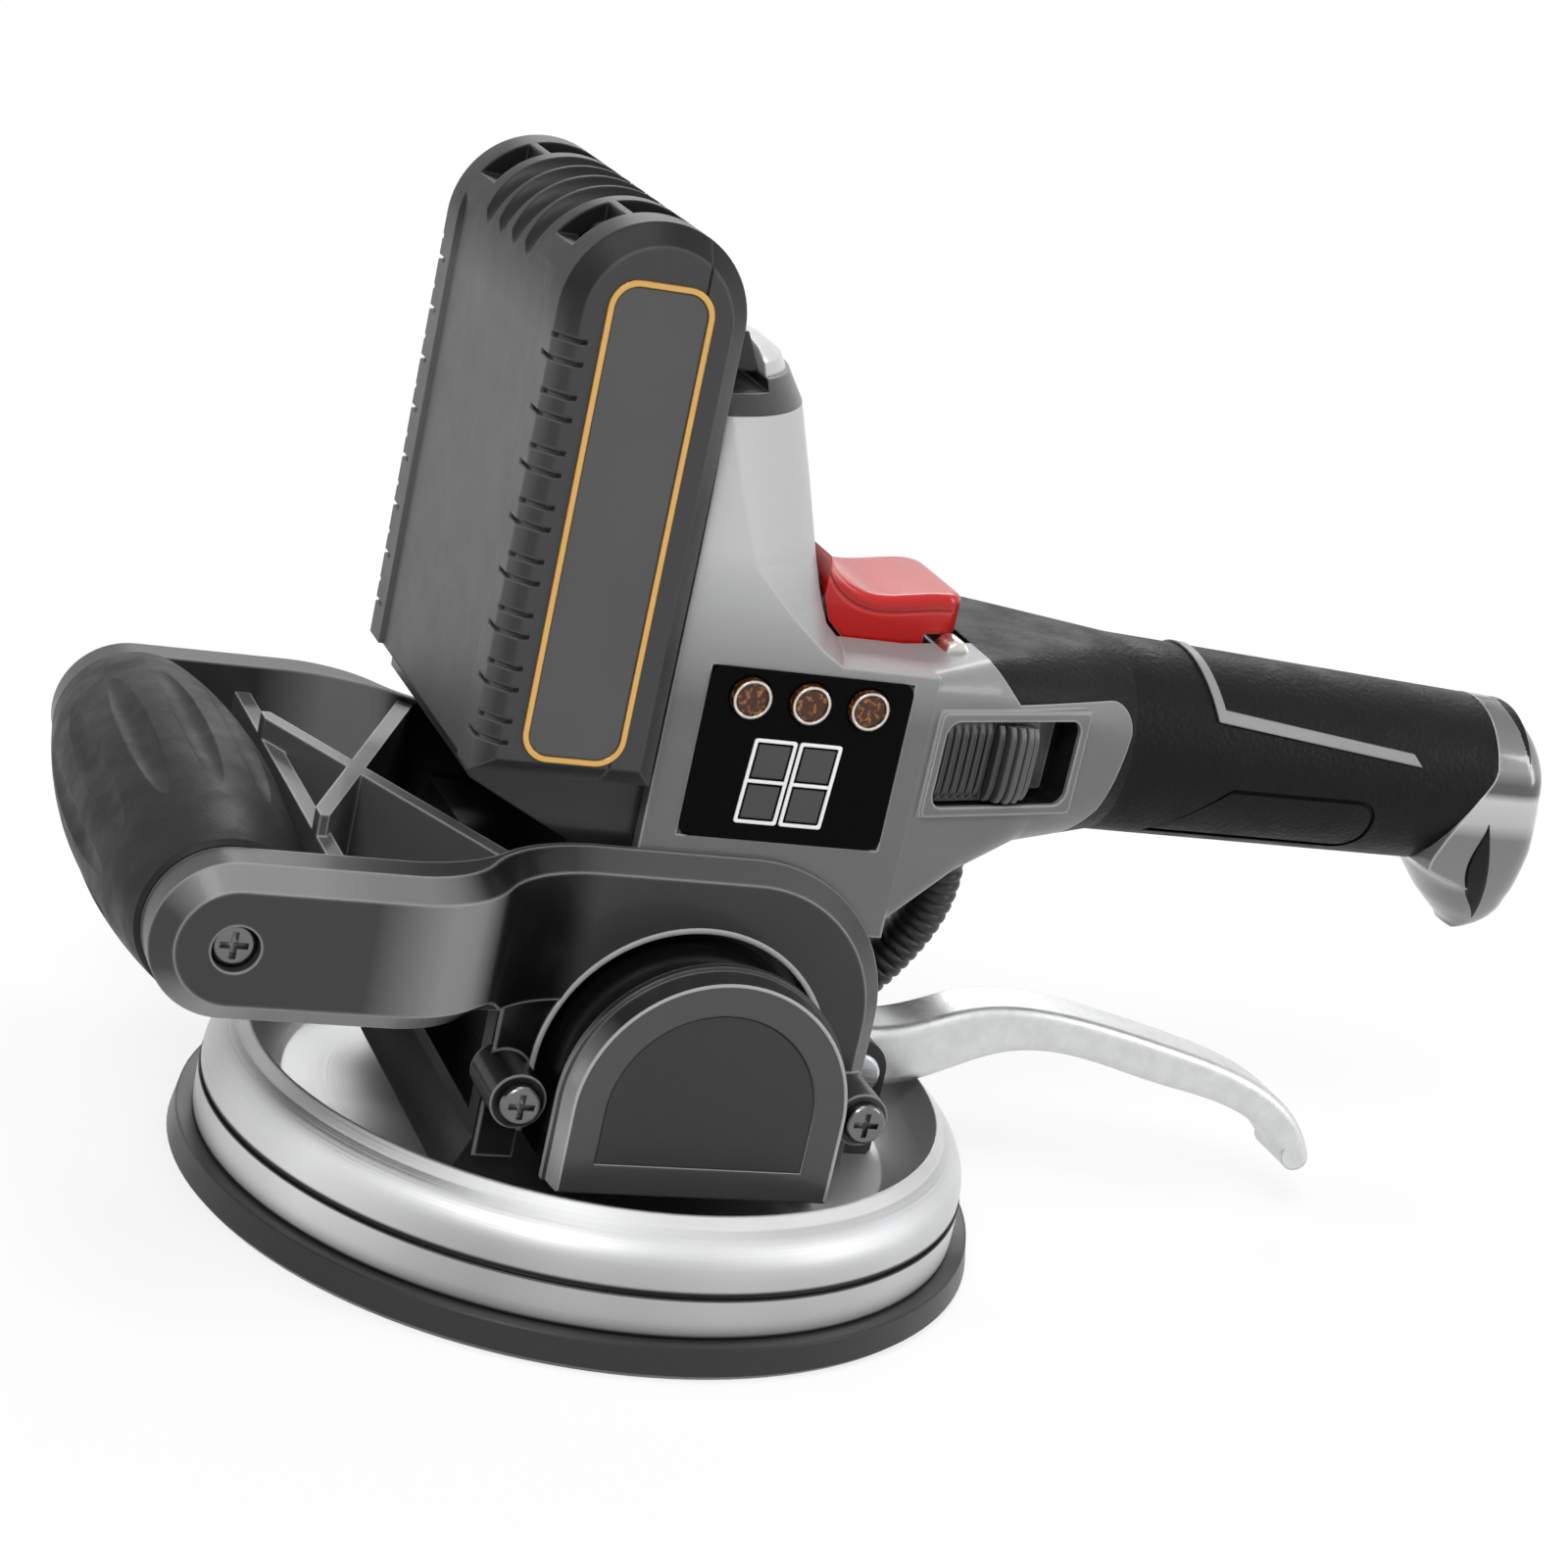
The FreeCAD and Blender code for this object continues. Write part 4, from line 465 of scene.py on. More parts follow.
def amber_lens():
    """Button lens: dark brown with golden flecks."""
    shader = plastic("button_amber", (0.045, 0.011, 0.004), 0.28, coat=0.2)
    flecks = shader.noise(shader.place(), 1.1, 2, 0.5)
    shader.paint_over(shader.ramp(flecks, [(0.54, level(0.0)), (0.66, level(0.7))]), (0.36, 0.15, 0.025))
    return shader


# Painted reflection bands: tone of the end cap at heights in millimetres.
CAP_PAINTED_BANDS = ((62, 0.15), (78, 0.15), (90, 0.14), (93, 0.38), (98, 0.45), (99.6, 0.06), (101.2, 0.06),
             (104, 0.2), (110, 0.13), (114, 0.05))


def cap_band():
    """End cap: polished grey with painted reflections in a bright and a dark band along it, and painted
    highlights on its edges.
    """
    shader = plastic("end_plastic", grey(0.2), 0.2, coat=0.4, soften=0.8, specular=0.4)
    # painted reflection bands along the height
    shader.paint(shader.bands(shader.along("Z"), [(z, grey(tone)) for z, tone in CAP_PAINTED_BANDS]))
    # painted highlights on the edges
    shader.edges(grey(0.6), 0.8, amount=0.7)
    return shader


def make_materials():
    """All materials by name; most names are the CAD slots."""
    shaders = (
        plastic("pad_rubber", grey(0.02), 0.36, soften=0.8, specular=0.3),
        spun_metal("cup_metal", (0.72, 0.72, 0.73), 0.47),
        plastic("base_plastic", grey(0.012), 0.3, coat=0.1, specular=0.2),
        frame_paint(),
        metal("screw_steel", (0.16, 0.16, 0.165), 0.2),
        brace(),
        plastic("tunnel_plastic", grey(0.004), 0.22, coat=0.12, specular=0.2),
        cap_rim(),
        plastic("cap_field", grey(0.034), 0.5, soften=0.3, specular=0.2),
        metal("motor_steel", (0.55, 0.56, 0.58), 0.35),
        metal("shaft_steel", (0.6, 0.61, 0.63), 0.25),
        metal("core_steel", (0.2, 0.2, 0.21), 0.5),
        metal("weight_steel", (0.3, 0.3, 0.31), 0.5),
        leather_rubber("grip_rubber", grey(0.014), 2.2, 0.03),
        metal("grip_steel", (0.5, 0.51, 0.53), 0.35),
        shell_plastic(),
        plastic("dome_plastic", grey(0.45), 0.24, coat=0.5, soften=0.9),
        leather_rubber("handle_rubber", grey(0.005), 1.1, 0.12),
        plastic("trim_grey", grey(0.24), 0.35),
        cap_band(),
        plastic("panel_gloss", grey(0.0015), 0.16, grain=0.001, specular=0.04),
        plastic("digit_white", (0.8, 0.81, 0.82), 0.4),
        amber_lens(),
        plastic("board_green", (0.02, 0.12, 0.05), 0.4),
        plastic("pump_black", grey(0.03), 0.45),
        thumb_black(),
        # also the dark leaves of painted shade in the hook's scoops
        plastic("pocket_black", grey(0.006), 0.4, specular=0.12),
        paddle_red(),
        battery_shell("battery_grey", grey(0.1), 0.42),
        battery_shell("battery_black", grey(0.055), 0.36),
        gold_line(),
        plastic("cell_wrap", grey(0.01), 0.4),
        plastic("dock_black", grey(0.016), 0.3, coat=0.2),
        lever_metal(),
        plastic("bracket_black", grey(0.025), 0.35),
        metal("valve_brass", (0.72, 0.56, 0.27), 0.25),
        plastic("hose_rubber", grey(0.016), 0.42, specular=0.4),
        # pale grey that stands in for painted highlights on the frames' lips and the tunnel caps' edges
        plastic("lip_line", grey(0.34), 0.25, coat=0.3, grain=0.004),
        plastic("label_grey", grey(0.075), 0.55, grain=0.004, specular=0.2),
        metal("ring_silver", (0.62, 0.6, 0.56), 0.25),
        plastic("digit_fill", grey(0.05), 0.35, grain=0.002),
    )
    return {shader.name: shader.mat for shader in shaders}


def dress_nodes(materials):
    """Gives every CAD node the material of its slot."""
    slots = {s["node"]: s["material_slot"] for s in frame["record"]["subparts"]}
    for name, node in frame["nodes"].items():
        node.data.materials.clear()
        node.data.materials.append(materials[slots[name]])


# ---------------------------------------------------------------- pieces
HANDS = ((-1, "left"), (1, "right"))    # sign of Y, and name


def add_piece(name, form, material, body, smooth=True):
    """Object from a bmesh, which rides on a body."""
    bmesh.ops.recalc_face_normals(form, faces=form.faces)
    mesh = bpy.data.meshes.new(name)
    form.to_mesh(mesh)
    form.free()
    mesh.materials.append(material)
    piece = bpy.data.objects.new(name, mesh)
    bpy.context.scene.collection.objects.link(piece)
    if smooth:
        mesh.shade_smooth()
        keep = piece.modifiers.new("crease", "EDGE_SPLIT")
        keep.split_angle = math.radians(32)
    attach(piece, body)
    return piece


def sweep_rings(form, rings, close=False):
    """Skin over rings of points, one after another."""
    rows = [[form.verts.new(p) for p in ring] for ring in rings]
    pairs = list(zip(rows, rows[1:]))
    if close:
        pairs.append((rows[-1], rows[0]))
    for a, b in pairs:
        for i in range(len(a)):
            j = (i + 1) % len(a)
            form.faces.new((a[i], a[j], b[j], b[i]))
    if not close:
        form.faces.new(rows[0][::-1])
        form.faces.new(rows[-1])


def round_box_outline(x0, x1, z0, z1, corner, steps):
    """Rounded rectangle in the XZ plane, as (x, z) points."""
    points = []
    for cx, cz, start in ((x1 - corner, z1 - corner, 0), (x0 + corner, z1 - corner, 90),
                          (x0 + corner, z0 + corner, 180), (x1 - corner, z0 + corner, 270)):
        for i in range(steps + 1):
            a = math.radians(start + 90 * i / steps)
            points.append((cx + corner * math.cos(a), cz + corner * math.sin(a)))
    return points


def xz_ring(points, y):
    """Ring of (x, z) points at one depth; millimetres."""
    return [Vector((x, y, z)) * MM for x, z in points]


def plate_xz(form, outline, y_back, y_front, inset):
    """Thin plate facing -Y, with a small chamfer inside its outline; millimetres."""
    cx = sum(x for x, z in outline) / len(outline)
    cz = sum(z for x, z in outline) / len(outline)
    wide = max(x for x, z in outline) - cx
    tall = max(z for x, z in outline) - cz
    small = [(cx + (x - cx) * (1 - inset / wide), cz + (z - cz) * (1 - inset / tall)) for x, z in outline]
    sweep_rings(form, [xz_ring(outline, y_back), xz_ring(outline, y_front + inset), xz_ring(small, y_front)])


def frame_xz(form, outer, inner, y_back, y_front):
    """Flat ring between two outlines with the same number of points, facing -Y."""
    sweep_rings(form, [xz_ring(outer, y_back), xz_ring(outer, y_front), xz_ring(inner, y_front),
                       xz_ring(inner, y_back)], close=True)


def make_digits(materials):
    """Two eights on the panel: pale outlines around dim windows."""
    low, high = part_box("display_digits")
    x0, x1 = low[0] / MM, high[0] / MM
    z0, z1 = low[2] / MM, high[2] / MM
    y = low[1] / MM
    back = y + 0.3
    gap = 1.3
    tuck = 0.4          # each digit's shift towards the other
    stroke = 0.62
    margin = 1.05       # from a digit's outside to its windows
    sill = 0.75         # from its middle to them
    width = (x1 - x0 - gap) / 2
    middle = (z0 + z1) / 2
    lean = math.tan(math.radians(3.0))

    def leaned(left, right, bottom, top, corner, steps):
        outline = round_box_outline(left, right, bottom, top, corner, steps)
        return [(px + (pz - middle) * lean, pz) for px, pz in outline]

    lines = bmesh.new()
    windows = bmesh.new()
    for start in (x0 + tuck, x0 + tuck + width + gap - 2 * tuck):
        end = start + width
        left, right = start + stroke, end - stroke
        outer = leaned(start, end, z0, z1, 0.5, 3)
        inner = leaned(left, right, z0 + stroke, z1 - stroke, 0.3, 3)
        frame_xz(lines, outer, inner, back, y)
        bar = leaned(left, right, middle - stroke / 2, middle + stroke / 2, 0.01, 1)
        plate_xz(lines, bar, back, y + 0.02, 0.02)
        for bottom, top in ((z0 + margin, middle - sill), (middle + sill, z1 - margin)):
            pane = leaned(start + margin, end - margin, bottom, top, 0.2, 2)
            plate_xz(windows, pane, back, y + 0.05, 0.02)
    outlines = add_piece("digit_outlines", lines, materials["digit_white"], "base",
                         smooth=False)
    add_piece("digit_windows", windows, materials["digit_fill"], "base", smooth=False)
    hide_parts("display_digits")


def lathe_y(form, x, z, profile, segments=64):
    """Turned form about a line along Y; profile is (radius, y) pairs in millimetres."""
    rings = []
    for i in range(segments):
        a = 2 * math.pi * i / segments
        rings.append([Vector((x + r * math.cos(a), y, z + r * math.sin(a))) * MM for r, y in profile])
    sweep_rings(form, rings, close=True)


def make_button_rings(materials):
    """Bright ring on the rim of each amber button."""
    for i in (1, 2, 3):
        low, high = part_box("panel_button_%d" % i)
        x = (low[0] + high[0]) / 2 / MM
        z = (low[2] + high[2]) / 2 / MM
        y = low[1] / MM
        ring = bmesh.new()
        lathe_y(ring, x, z, [(2.95, y + 0.35), (2.95, y + 0.02), (3.1, y - 0.06), (3.38, y - 0.06),
                             (3.5, y + 0.06), (3.5, y + 0.35)])
        add_piece("button_ring_%d" % i, ring, materials["ring_silver"], "button_%d" % i)


SWITCH_AT = (54.5, -27.28, 99.3)    # centre of the speed switch on the neck's side
SWITCH_TURN = math.atan((32.3 - 18.7) / (84.0 - 36.0))      # slope of that side, from its half widths


def switch_point(along, depth, up):
    """Place in the switch's own frame: along the neck's side, inwards, and up; millimetres."""
    c, s = math.cos(SWITCH_TURN), math.sin(SWITCH_TURN)
    return Vector((SWITCH_AT[0] + along * c - depth * s, SWITCH_AT[1] + along * s + depth * c,
                   SWITCH_AT[2] + up)) * MM


def switch_ring(outline, depth):
    """Ring of (along, up) points at one depth in the switch's frame."""
    return [switch_point(along, depth, up) for along, up in outline]


def switch_box(half_length, half_height, corner):
    """Rounded outline about the switch's centre, as (along, up) points."""
    return round_box_outline(-half_length, half_length, -half_height, half_height, corner, 6)


def make_switch_pocket(materials):
    """Dark liner of the switch's slot, with a floor."""
    wall = 0.14
    mouth = -0.35
    outside = switch_box(15.98, 8.28, 0.1)
    inside = switch_box(15.96 - wall, 8.26 - wall, 2.4 - wall)
    form = bmesh.new()
    sweep_rings(form, [switch_ring(outside, 5.98), switch_ring(outside, mouth), switch_ring(inside, mouth),
                       switch_ring(inside, 5.86)])
    add_piece("switch_pocket", form, materials["pocket_black"], "base")


def make_switch_bezel(materials):
    """Flat frame round the slot, in the housing's grey."""
    face = -0.62
    outer = switch_box(17.5, 9.8, 1.2)
    inner = switch_box(15.8, 8.1, 2.6)
    form = bmesh.new()
    sweep_rings(form, [switch_ring(outer, -0.2), switch_ring(outer, face), switch_ring(inner, face),
                       switch_ring(inner, 0.4)], close=True)
    add_piece("switch_bezel", form, materials["housing_plastic"], "base")


def make_switch_stop(materials):
    """Grey stop on the slot's floor, behind the thumb."""
    wide = round_box_outline(10.2, 14.6, -7.2, 7.2, 0.6, 3)
    small = round_box_outline(10.5, 14.3, -6.9, 6.9, 0.5, 3)
    form = bmesh.new()
    sweep_rings(form, [switch_ring(wide, 5.8), switch_ring(wide, 5.5), switch_ring(small, 5.2)])
    add_piece("switch_stop", form, materials["brace_plastic"], "base")


def thumb_rib(start, front, half):
    """Rings of one rib across the thumb, with rounded ends and broken long edges."""
    rings = []
    root = 1.6
    steps = 12
    for along, sink in ((start, 0.25), (start + 0.2, 0.0), (start + 1.1, 0.0), (start + 1.3, 0.25)):
        ring = []
        for k in range(steps + 1):
            up = -half + 2 * half * k / steps
            round_off = 1.1 * (abs(up) / half) ** 5
            ring.append(switch_point(along, front + sink + round_off, up))
        ring += [switch_point(along, root, half), switch_point(along, root, -half)]
        rings.append(ring)
    return rings


def make_switch_thumb(materials):
    """Sliding thumb: a carriage with ribs that rise to a bulge and narrow behind it."""
    carriage = round_box_outline(-15.2, 7.4, -7.7, 7.7, 1.6, 5)
    top = [(along * 0.98, up * 0.97) for along, up in carriage]
    form = bmesh.new()
    sweep_rings(form, [switch_ring(carriage, 4.9), switch_ring(carriage, 1.5), switch_ring(top, 1.2)])
    first, pitch, count = -14.6, 1.86, 11
    bulge, reach, height = 1.6, 5.6, 2.9
    for i in range(count):
        start = first + i * pitch
        behind = start + 0.6 - bulge
        rise = max(0.0, math.cos(behind / reach * math.pi / 2)) if abs(behind) < reach else 0.0
        half = 7.2 - (1.2 * (1 - rise) if behind > 0 else 0.0)
        sweep_rings(form, thumb_rib(start, 0.2 - height * rise ** 0.7, half))
    piece = add_piece("switch_thumb", form, materials["switch_black"], "speed_switch")
    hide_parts("switch_slider")


def between(table, z):
    """Value at z from a table of (z, value) rows in rising order, straight between rows."""
    if z <= table[0][0]:
        return table[0][1]
    for (z0, v0), (z1, v1) in zip(table, table[1:]):
        if z <= z1:
            return v0 + (v1 - v0) * ((z - z0) / (z1 - z0))
    return table[-1][1]


# Outline of the handle's end cap from the side: X of its rear and its front by height, in millimetres.
CAP_REAR = ((66.2, 173.6), (67.3, 175.4), (69, 178.0), (70.7, 179.6), (73.1, 180.7), (78, 181.3),
            (87.1, 181.4), (98.9, 179.8), (103, 178.9), (105.9, 177.9), (108.5, 176.5), (110.9, 174.6),
            (112.4, 172.6), (113.2, 170.6))
CAP_FRONT = ((66.2, 172.4), (67.3, 171.6), (69.8, 168.6), (72, 166.2), (75.5, 163.2), (79, 160.0),
             (80.2, 157.5), (81.5, 155.4), (84.7, 155.5), (88.7, 156.8), (93.3, 159.1), (97.5, 161.5),
             (101.2, 164.0), (103, 164.7), (113.2, 164.9))
# Length of the rounding at its front, by height.
CAP_NOSE = ((66, 3.0), (70, 5.0), (77, 8.0), (80.5, 3.0), (82, 0.15), (120, 0.15))
CAP_LOW, CAP_TOP = 66.2, 113.4
CAP_AXIS = 96.6         # level of its greatest width
CAP_HALF = 16.7         # half of that width
CAP_TAIL = 31.4         # from that level to where the hook would end in a point
CAP_CORNER = 0.77       # power below 1, which fills the rear corners
SLEEVE_START, SLEEVE_LENGTH = 84, 96
SLEEVE_RADIUS, SLEEVE_TAPER = 18.85, 2.3
SLEEVE_AXIS, SLEEVE_FALL = 98.8, 2.2


def follow_sleeve(x, y, z):
    """Place of a point of the end cap, narrowed and lowered as the handle's sleeve is."""
    along = (x - SLEEVE_START) / SLEEVE_LENGTH
    wider = (SLEEVE_RADIUS - SLEEVE_TAPER * along) / CAP_HALF
    return Vector((x, y * wider, SLEEVE_AXIS - SLEEVE_FALL * along + (z - CAP_AXIS) * wider)) * MM


def cap_slice(z):
    """Ring of the end cap for a height: round at the back, and round at the hook's front."""
    if z >= CAP_AXIS:
        half = math.sqrt(max(0.3, CAP_HALF ** 2 - (z - CAP_AXIS) ** 2))
    else:
        half = CAP_HALF * (1 - ((CAP_AXIS - z) / CAP_TAIL) ** 2.3) ** 0.6
    front = between(CAP_FRONT, z)
    rear = max(between(CAP_REAR, z), front + 0.5)
    length = rear - front
    back = min(9.0, 0.5 * length)
    nose = min(between(CAP_NOSE, z), 0.5 * length)
    steps = 14
    turns = [math.pi / 2 * i / steps for i in range(-steps, steps + 1)]
    ring = []
    for a in turns:
        across = math.copysign(abs(math.sin(a)) ** CAP_CORNER, a)
        ring.append(follow_sleeve(rear - back + back * math.cos(a) ** CAP_CORNER, half * across, z))
    for a in reversed(turns):
        ring.append(follow_sleeve(front + nose - nose * math.cos(a), half * math.sin(a), z))
    return ring


def make_scoop_shade(side, hand, skin, materials):
    """Painted shade in the scoop on one side of the hook: a slim dark leaf laid just outside the cap's skin.
    """
    top, bottom = Vector((165.4, 93.0)), Vector((173.0, 70.8))      # X and Z of its tips
    rows_up, columns = 22, 8
    offset = 0.07
    form = bmesh.new()
    rows = []
    for i in range(rows_up + 1):
        part = i / rows_up
        middle = bottom.lerp(top, part)
        wide = 0.1 + 2.5 * math.sin(math.pi * part) ** 1.3
        row = []
        for k in range(columns + 1):
            x = middle.x + ((k / columns - 0.5) * 2 - 0.85) * wide
            hit = skin.ray_cast(Vector((x, side * 40, middle.y)) * MM, Vector((0, -side, 0)))[0]
            row.append(form.verts.new(Vector((x, hit.y / MM + side * offset, middle.y)) * MM))
        rows.append(row)
    for a, b in zip(rows, rows[1:]):
        for k in range(columns):
            form.faces.new((a[k], a[k + 1], b[k + 1], b[k]))
    patch = add_piece("hook_scoop_shade_" + hand, form, materials["pocket_black"], "base")
    thick = patch.modifiers.new("thick", "SOLIDIFY")
    thick.thickness = 0.05 * MM


def make_end_cap(materials):
    """End cap of the handle with its hook, in rings from its tip up, and dark leaves of painted shade in the
    scoops on the hook's sides.
    """
    count = 72
    form = bmesh.new()
    shares = [(1 - math.cos(math.pi * i / count)) / 2 for i in range(count + 1)]
    sweep_rings(form, [cap_slice(CAP_LOW + (CAP_TOP - CAP_LOW) * share) for share in shares])
    skin = BVHTree.FromBMesh(form)
    cap = add_piece("end_cap", form, materials["end_plastic"], "base")
    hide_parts("handle_end_cap")
    for side, hand in HANDS:
        make_scoop_shade(side, hand, skin, materials)


def turned_ring(center, across, over, radius, count):
    """Circle of points about a centre, in the plane of two directions."""
    angles = [2 * math.pi * k / count for k in range(count)]
    return [center + (across * math.cos(a) + over * math.sin(a)) * radius for a in angles]


def make_pin_ends(materials):
    """Bright round ends of the paddle's stop pin, which stand out of the housing beside the paddle."""
    pin_x, pin_z = 44.6, 115.5
    profile = ((12.8, 2.2), (13.1, 2.6), (17.8, 2.6), (18.3, 2.35), (18.6, 1.7))    # Y and radius
    for side, hand in HANDS:
        form = bmesh.new()
        sweep_rings(form, [turned_ring(Vector((pin_x, side * y, pin_z)) * MM, Vector((1, 0, 0)),
                                       Vector((0, 0, 1)), radius * MM, 32) for y, radius in profile])
        add_piece("pin_end_" + hand, form, materials["ring_silver"], "base")


def rail_xz(name, path, side, y, half_out, half_deep, material):
    """Thin rounded rail along (x, z) points on a side face of the body."""
    form = bmesh.new()
    rings = []
    for i, (x, z) in enumerate(path):
        before = path[max(0, i - 1)]
        after = path[min(len(path) - 1, i + 1)]
        along = Vector((after[0] - before[0], 0, after[1] - before[1])).normalized()
        out = Vector((-along.z, 0, along.x))
        ring = []
        for k in range(10):
            a = 2 * math.pi * k / 10
            ring.append((Vector((x, side * y, z)) + out * half_out * math.cos(a)
                         + Vector((0, side * half_deep * math.sin(a), 0))) * MM)
        rings.append(ring)
    sweep_rings(form, rings)
    add_piece(name, form, material, "base")


def arch_path(radius, foot):
    """Round arch on two straight legs about the tunnel's axis, as (x, z) points."""
    axis_x, axis_z = 1.5, 39.5
    steps = 48
    path = [(axis_x - radius, foot)]
    for i in range(steps + 1):
        a = math.pi - math.pi * i / steps
        path.append((axis_x + radius * math.cos(a), axis_z + radius * math.sin(a)))
    path.append((axis_x + radius, foot))
    return path


def make_frame_lips(materials):
    """Rolled lip round the arch opening of each side frame, pale grey as a painted highlight."""
    for side, hand in HANDS:
        rail_xz("frame_lip_" + hand, arch_path(radius=27.15, foot=27.0), side, y=37.02, half_out=0.55,
                half_deep=0.35, material=materials["lip_line"])


def make_cap_lines(materials):
    """Edge round the face of each tunnel end cap, pale grey as a painted highlight."""
    for side, hand in HANDS:
        rail_xz("cap_line_" + hand, arch_path(radius=24.75, foot=24.6), side, y=54.95, half_out=0.34,
                half_deep=0.26, material=materials["lip_line"])


def make_labels(materials):
    """Bare label plate inside the gold line on each end of the pack."""
    line = 1.15
    for side, hand in HANDS:
        node = "battery_trim_" + hand
        low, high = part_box(node)
        outline = round_box_outline(low[0] / MM + line, high[0] / MM - line, low[2] / MM + line,
                                    high[2] / MM - line, 3.8, 8)
        wall = abs(high[1] if side < 0 else low[1]) / MM
        plate = bmesh.new()
        plate_xz(plate, outline, -wall + 0.02, -wall - 0.14, 0.05)
        if side > 0:
            for vert in plate.verts:
                vert.co.y *= -1
        add_piece("battery_label_" + hand, plate, materials["label_grey"], "battery",
                  smooth=False)


# Points that the CAD hose follows, in millimetres.
HOSE_ROUTE = ((62, 13, 78.6), (66.5, 13.5, 69), (67.5, 15.5, 55), (60.5, 18.5, 40), (50.5, 21, 29),
              (45.5, 21.5, 20))


def hose_middle():
    """Points close together along the hose's middle, in metres."""
    curve = bpy.data.curves.new("hose_route", "CURVE")
    curve.dimensions = "3D"
    curve.resolution_u = 24
    spline = curve.splines.new("NURBS")
    spline.points.add(len(HOSE_ROUTE) - 1)
    for point, place in zip(spline.points, HOSE_ROUTE):
        point.co = (*[c * MM for c in place], 1)
    spline.order_u = 3
    spline.use_endpoint_u = True
    guide = bpy.data.objects.new("hose_route", curve)
    line = bpy.data.meshes.new_from_object(guide)
    points = [v.co.copy() for v in line.vertices]
    bpy.data.objects.remove(guide)
    bpy.data.curves.remove(curve)
    bpy.data.meshes.remove(line)
    return points


def walk(points, distance):
    """Place and direction at a distance along a line of points."""
    gone = 0.0
    for a, b in zip(points, points[1:]):
        reach = gone + (b - a).length
        if distance <= reach:
            return a.lerp(b, (distance - gone) / (reach - gone)), (b - a).normalized()
        gone = reach
    return points[-1], (points[-1] - points[-2]).normalized()


def make_hose(materials):
    """Corrugated air hose along the route of its CAD tube."""
    points = hose_middle()
    length = 0.0
    for a, b in zip(points, points[1:]):
        length += (b - a).length
    pitch = 2.2 * MM
    root, rib = 4.3, 0.6        # radius between the ribs, and how far they stand out
    per_rib = 6
    count = int(length / pitch) * per_rib
    rings = []
    for i in range(count + 1):
        center, forward = walk(points, length * i / count)
        side = forward.cross(Vector((0, 1, 0))).normalized()
        wave = abs(math.sin(math.pi * i / per_rib))
        radius = (root + rib * wave ** 0.6) * MM
        rings.append(turned_ring(center, side, side.cross(forward), radius, 28))
    form = bmesh.new()
    sweep_rings(form, rings)
    hose = add_piece("air_hose", form, materials["hose_rubber"], "base")
    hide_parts("vacuum_hose")


# ---------------------------------------------------------------- studio
def area_light(name, place, aim, size, power):
    """Lamp with a flat face, aimed at a point; power in watts."""
    data = bpy.data.lights.new(name, "AREA")
    data.shape = "RECTANGLE"
    data.size = size[0]
    data.size_y = size[1]
    data.energy = power
    light = bpy.data.objects.new(name, data)
    light.location = place
    light.rotation_euler = (Vector(aim) - Vector(place)).to_track_quat("-Z", "Y").to_euler()
    bpy.context.scene.collection.objects.link(light)


def sun_light(name, toward, strength, angle):
    """Even light from far away, from the side of a point."""
    data = bpy.data.lights.new(name, "SUN")
    data.energy = strength
    data.angle = math.radians(angle)
    light = bpy.data.objects.new(name, data)
    light.rotation_euler = Vector(toward).to_track_quat("Z", "Y").to_euler()
    bpy.context.scene.collection.objects.link(light)


def pale_rays(nodes, lit, pale, share=1.0):
    """Mix of two shaders: pale by a share for camera, glossy and transmission rays, lit for the rest."""
    rays = nodes.node("ShaderNodeLightPath").outputs
    seen = nodes.calc("MAXIMUM", rays["Is Camera Ray"], rays["Is Glossy Ray"])
    seen = nodes.calc("MAXIMUM", seen, rays["Is Transmission Ray"])
    mix = nodes.node("ShaderNodeMixShader")
    nodes.link(nodes.calc("MULTIPLY", seen, share), mix.inputs[0])
    nodes.link(lit.outputs[0], mix.inputs[1])
    nodes.link(pale.outputs[0], mix.inputs[2])
    return mix.outputs[0]


def make_world():
    """Dim even light, which shows as white."""
    world = bpy.data.worlds.new("studio")
    bpy.context.scene.world = world
    world.use_nodes = True
    nodes = NodeTree(world.node_tree)
    soft = nodes.tree.nodes["Background"]
    pale = nodes.node("ShaderNodeBackground")
    for source, strength in ((soft, 0.35), (pale, 1.0)):
        source.inputs["Color"].default_value = (1, 1, 1, 1)
        source.inputs["Strength"].default_value = strength
    nodes.link(pale_rays(nodes, soft, pale), nodes.tree.nodes["World Output"].inputs["Surface"])


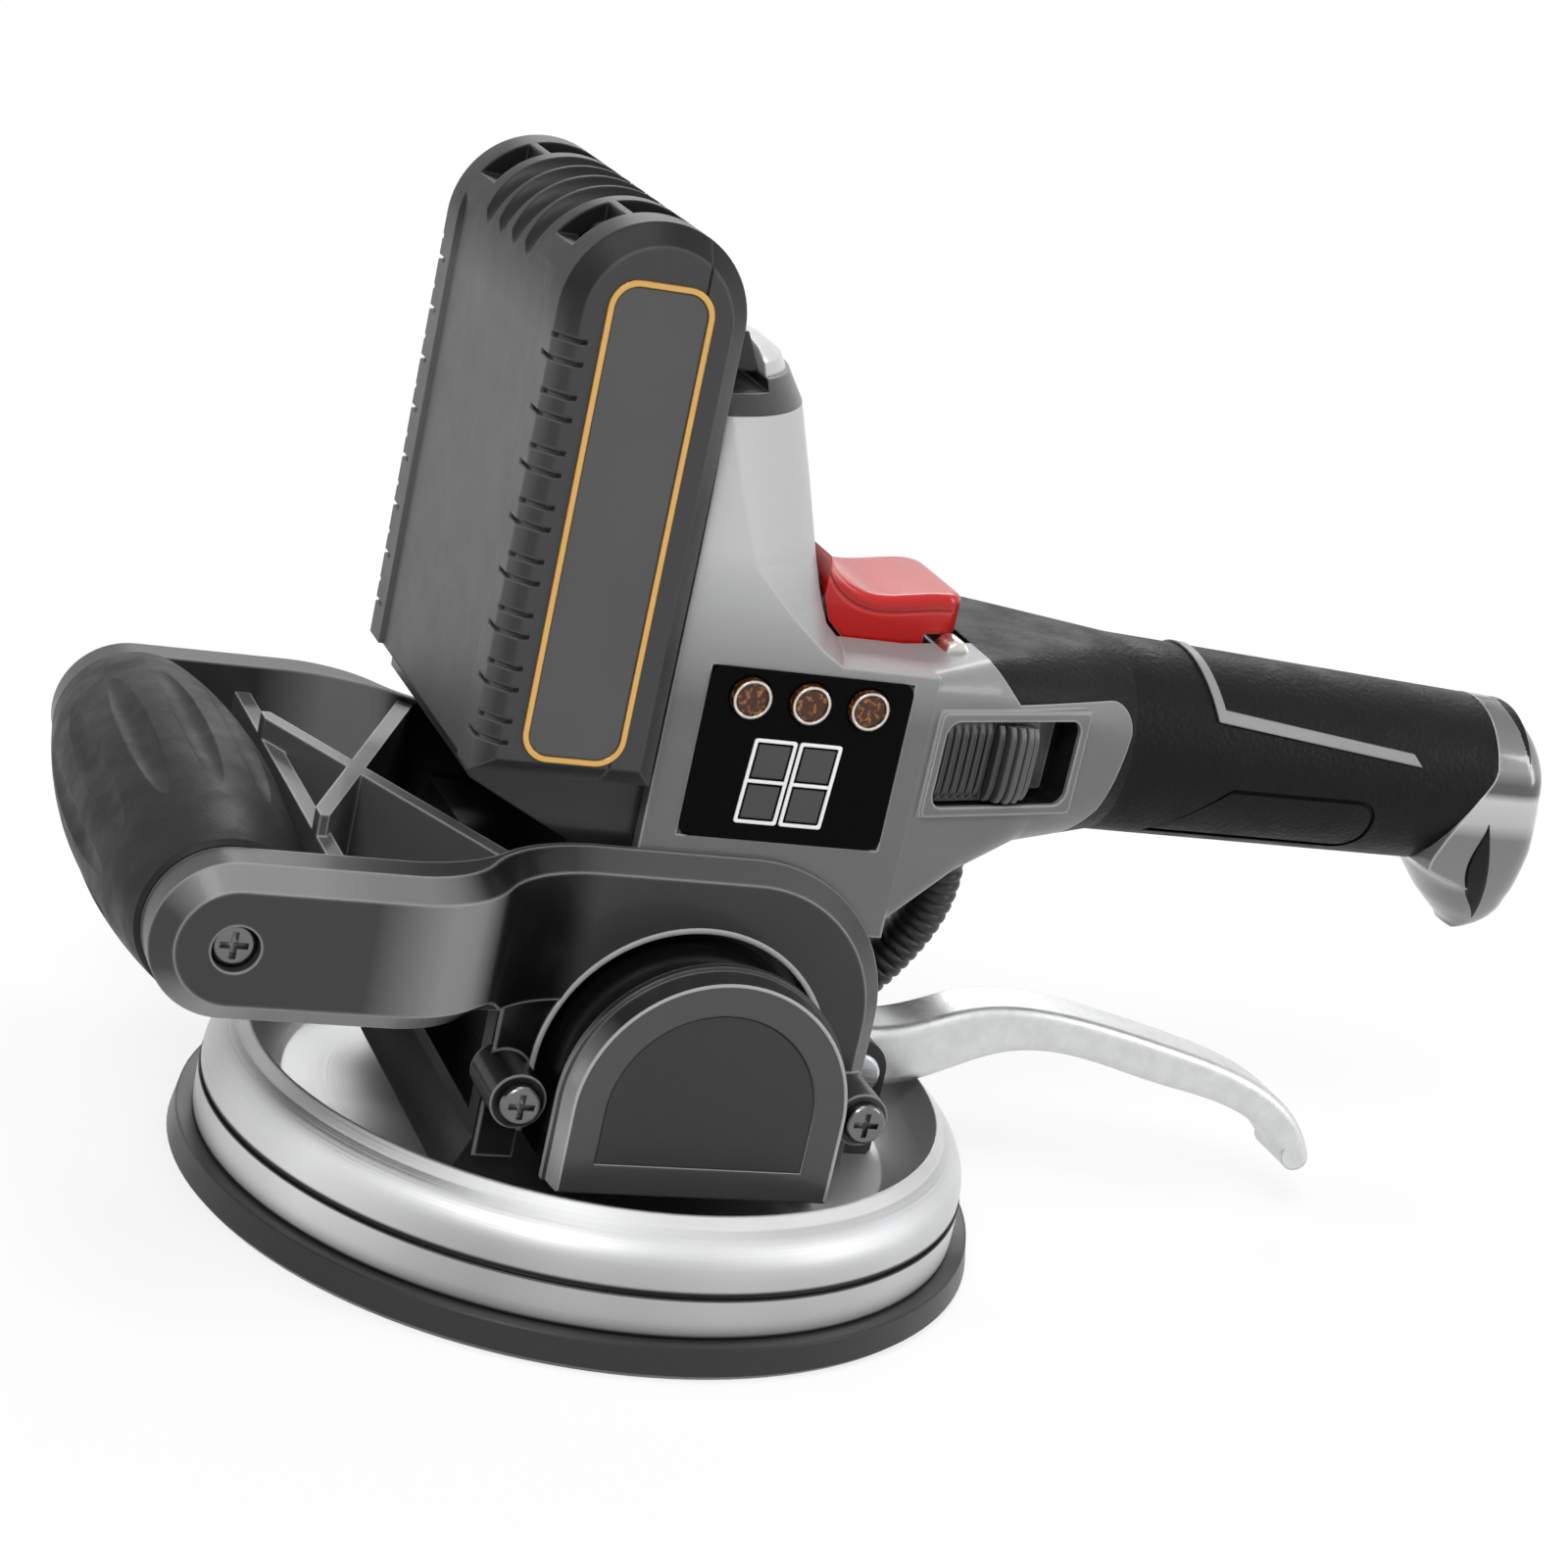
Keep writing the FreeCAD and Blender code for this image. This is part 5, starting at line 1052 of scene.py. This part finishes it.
def floor_paint():
    """Near-white floor that keeps the shadow near the object and goes fully white further out."""
    color = (0.93, 0.93, 0.93)
    shader = Shader("floor_paint", color, 0.8, specular=0.1)
    shader.mottle(color, 0.01, 0.002)
    glow = shader.node("ShaderNodeEmission")
    glow.inputs["Color"].default_value = (1, 1, 1, 1)
    glow.inputs["Strength"].default_value = 1.0
    away = shader.length(shader.node("ShaderNodeNewGeometry").outputs["Position"])
    share = shader.node("ShaderNodeMapRange")
    for socket, value in (("From Min", 0.5), ("From Max", 1.8), ("To Min", 0.8), ("To Max", 1.0)):
        share.inputs[socket].default_value = value
    shader.link(away, share.inputs["Value"])
    mix = pale_rays(shader, shader.bsdf, glow, share.outputs["Result"])
    shader.link(mix, shader.tree.nodes["Material Output"].inputs["Surface"])
    return shader.mat


def make_floor():
    """Wide round floor, just below the pad."""
    mesh = bpy.data.meshes.new("floor")
    disc = bmesh.new()
    bmesh.ops.create_circle(disc, cap_ends=True, radius=12.0, segments=96)
    disc.to_mesh(mesh)
    disc.free()
    floor = bpy.data.objects.new("floor", mesh)
    floor.location.z = -0.0002
    bpy.context.scene.collection.objects.link(floor)
    mesh.materials.append(floor_paint())


def make_lamps():
    """A soft sun and four area lamps around the part."""
    sun_light("sun", (-0.6, -0.9, 1.25), 0.9, 24)
    area_light("key", (-0.7, -1.1, 1.2), (0.03, 0, 0.08), (0.3, 0.3), 7.5)
    area_light("side", (1.3, -0.7, 0.7), (0.05, 0, 0.08), (0.25, 0.8), 6.5)
    area_light("rim", (0.5, 1.3, 1.0), (0.02, 0, 0.1), (1.0, 0.3), 8)
    area_light("top", (-0.1, -0.1, 1.5), (0.02, 0, 0.0), (0.5, 0.3), 4.5)


def make_studio():
    """View transform, world, floor and lamps."""
    bpy.context.scene.view_settings.view_transform = "Standard"
    make_world()
    make_floor()
    make_lamps()


# ---------------------------------------------------------------- scene
def main():
    make_camera()
    materials = make_materials()
    dress_nodes(materials)
    make_hose(materials)
    make_digits(materials)
    make_button_rings(materials)
    make_labels(materials)
    make_switch_pocket(materials)
    make_switch_bezel(materials)
    make_switch_stop(materials)
    make_switch_thumb(materials)
    make_end_cap(materials)
    make_frame_lips(materials)
    make_cap_lines(materials)
    make_pin_ends(materials)
    make_studio()


main()
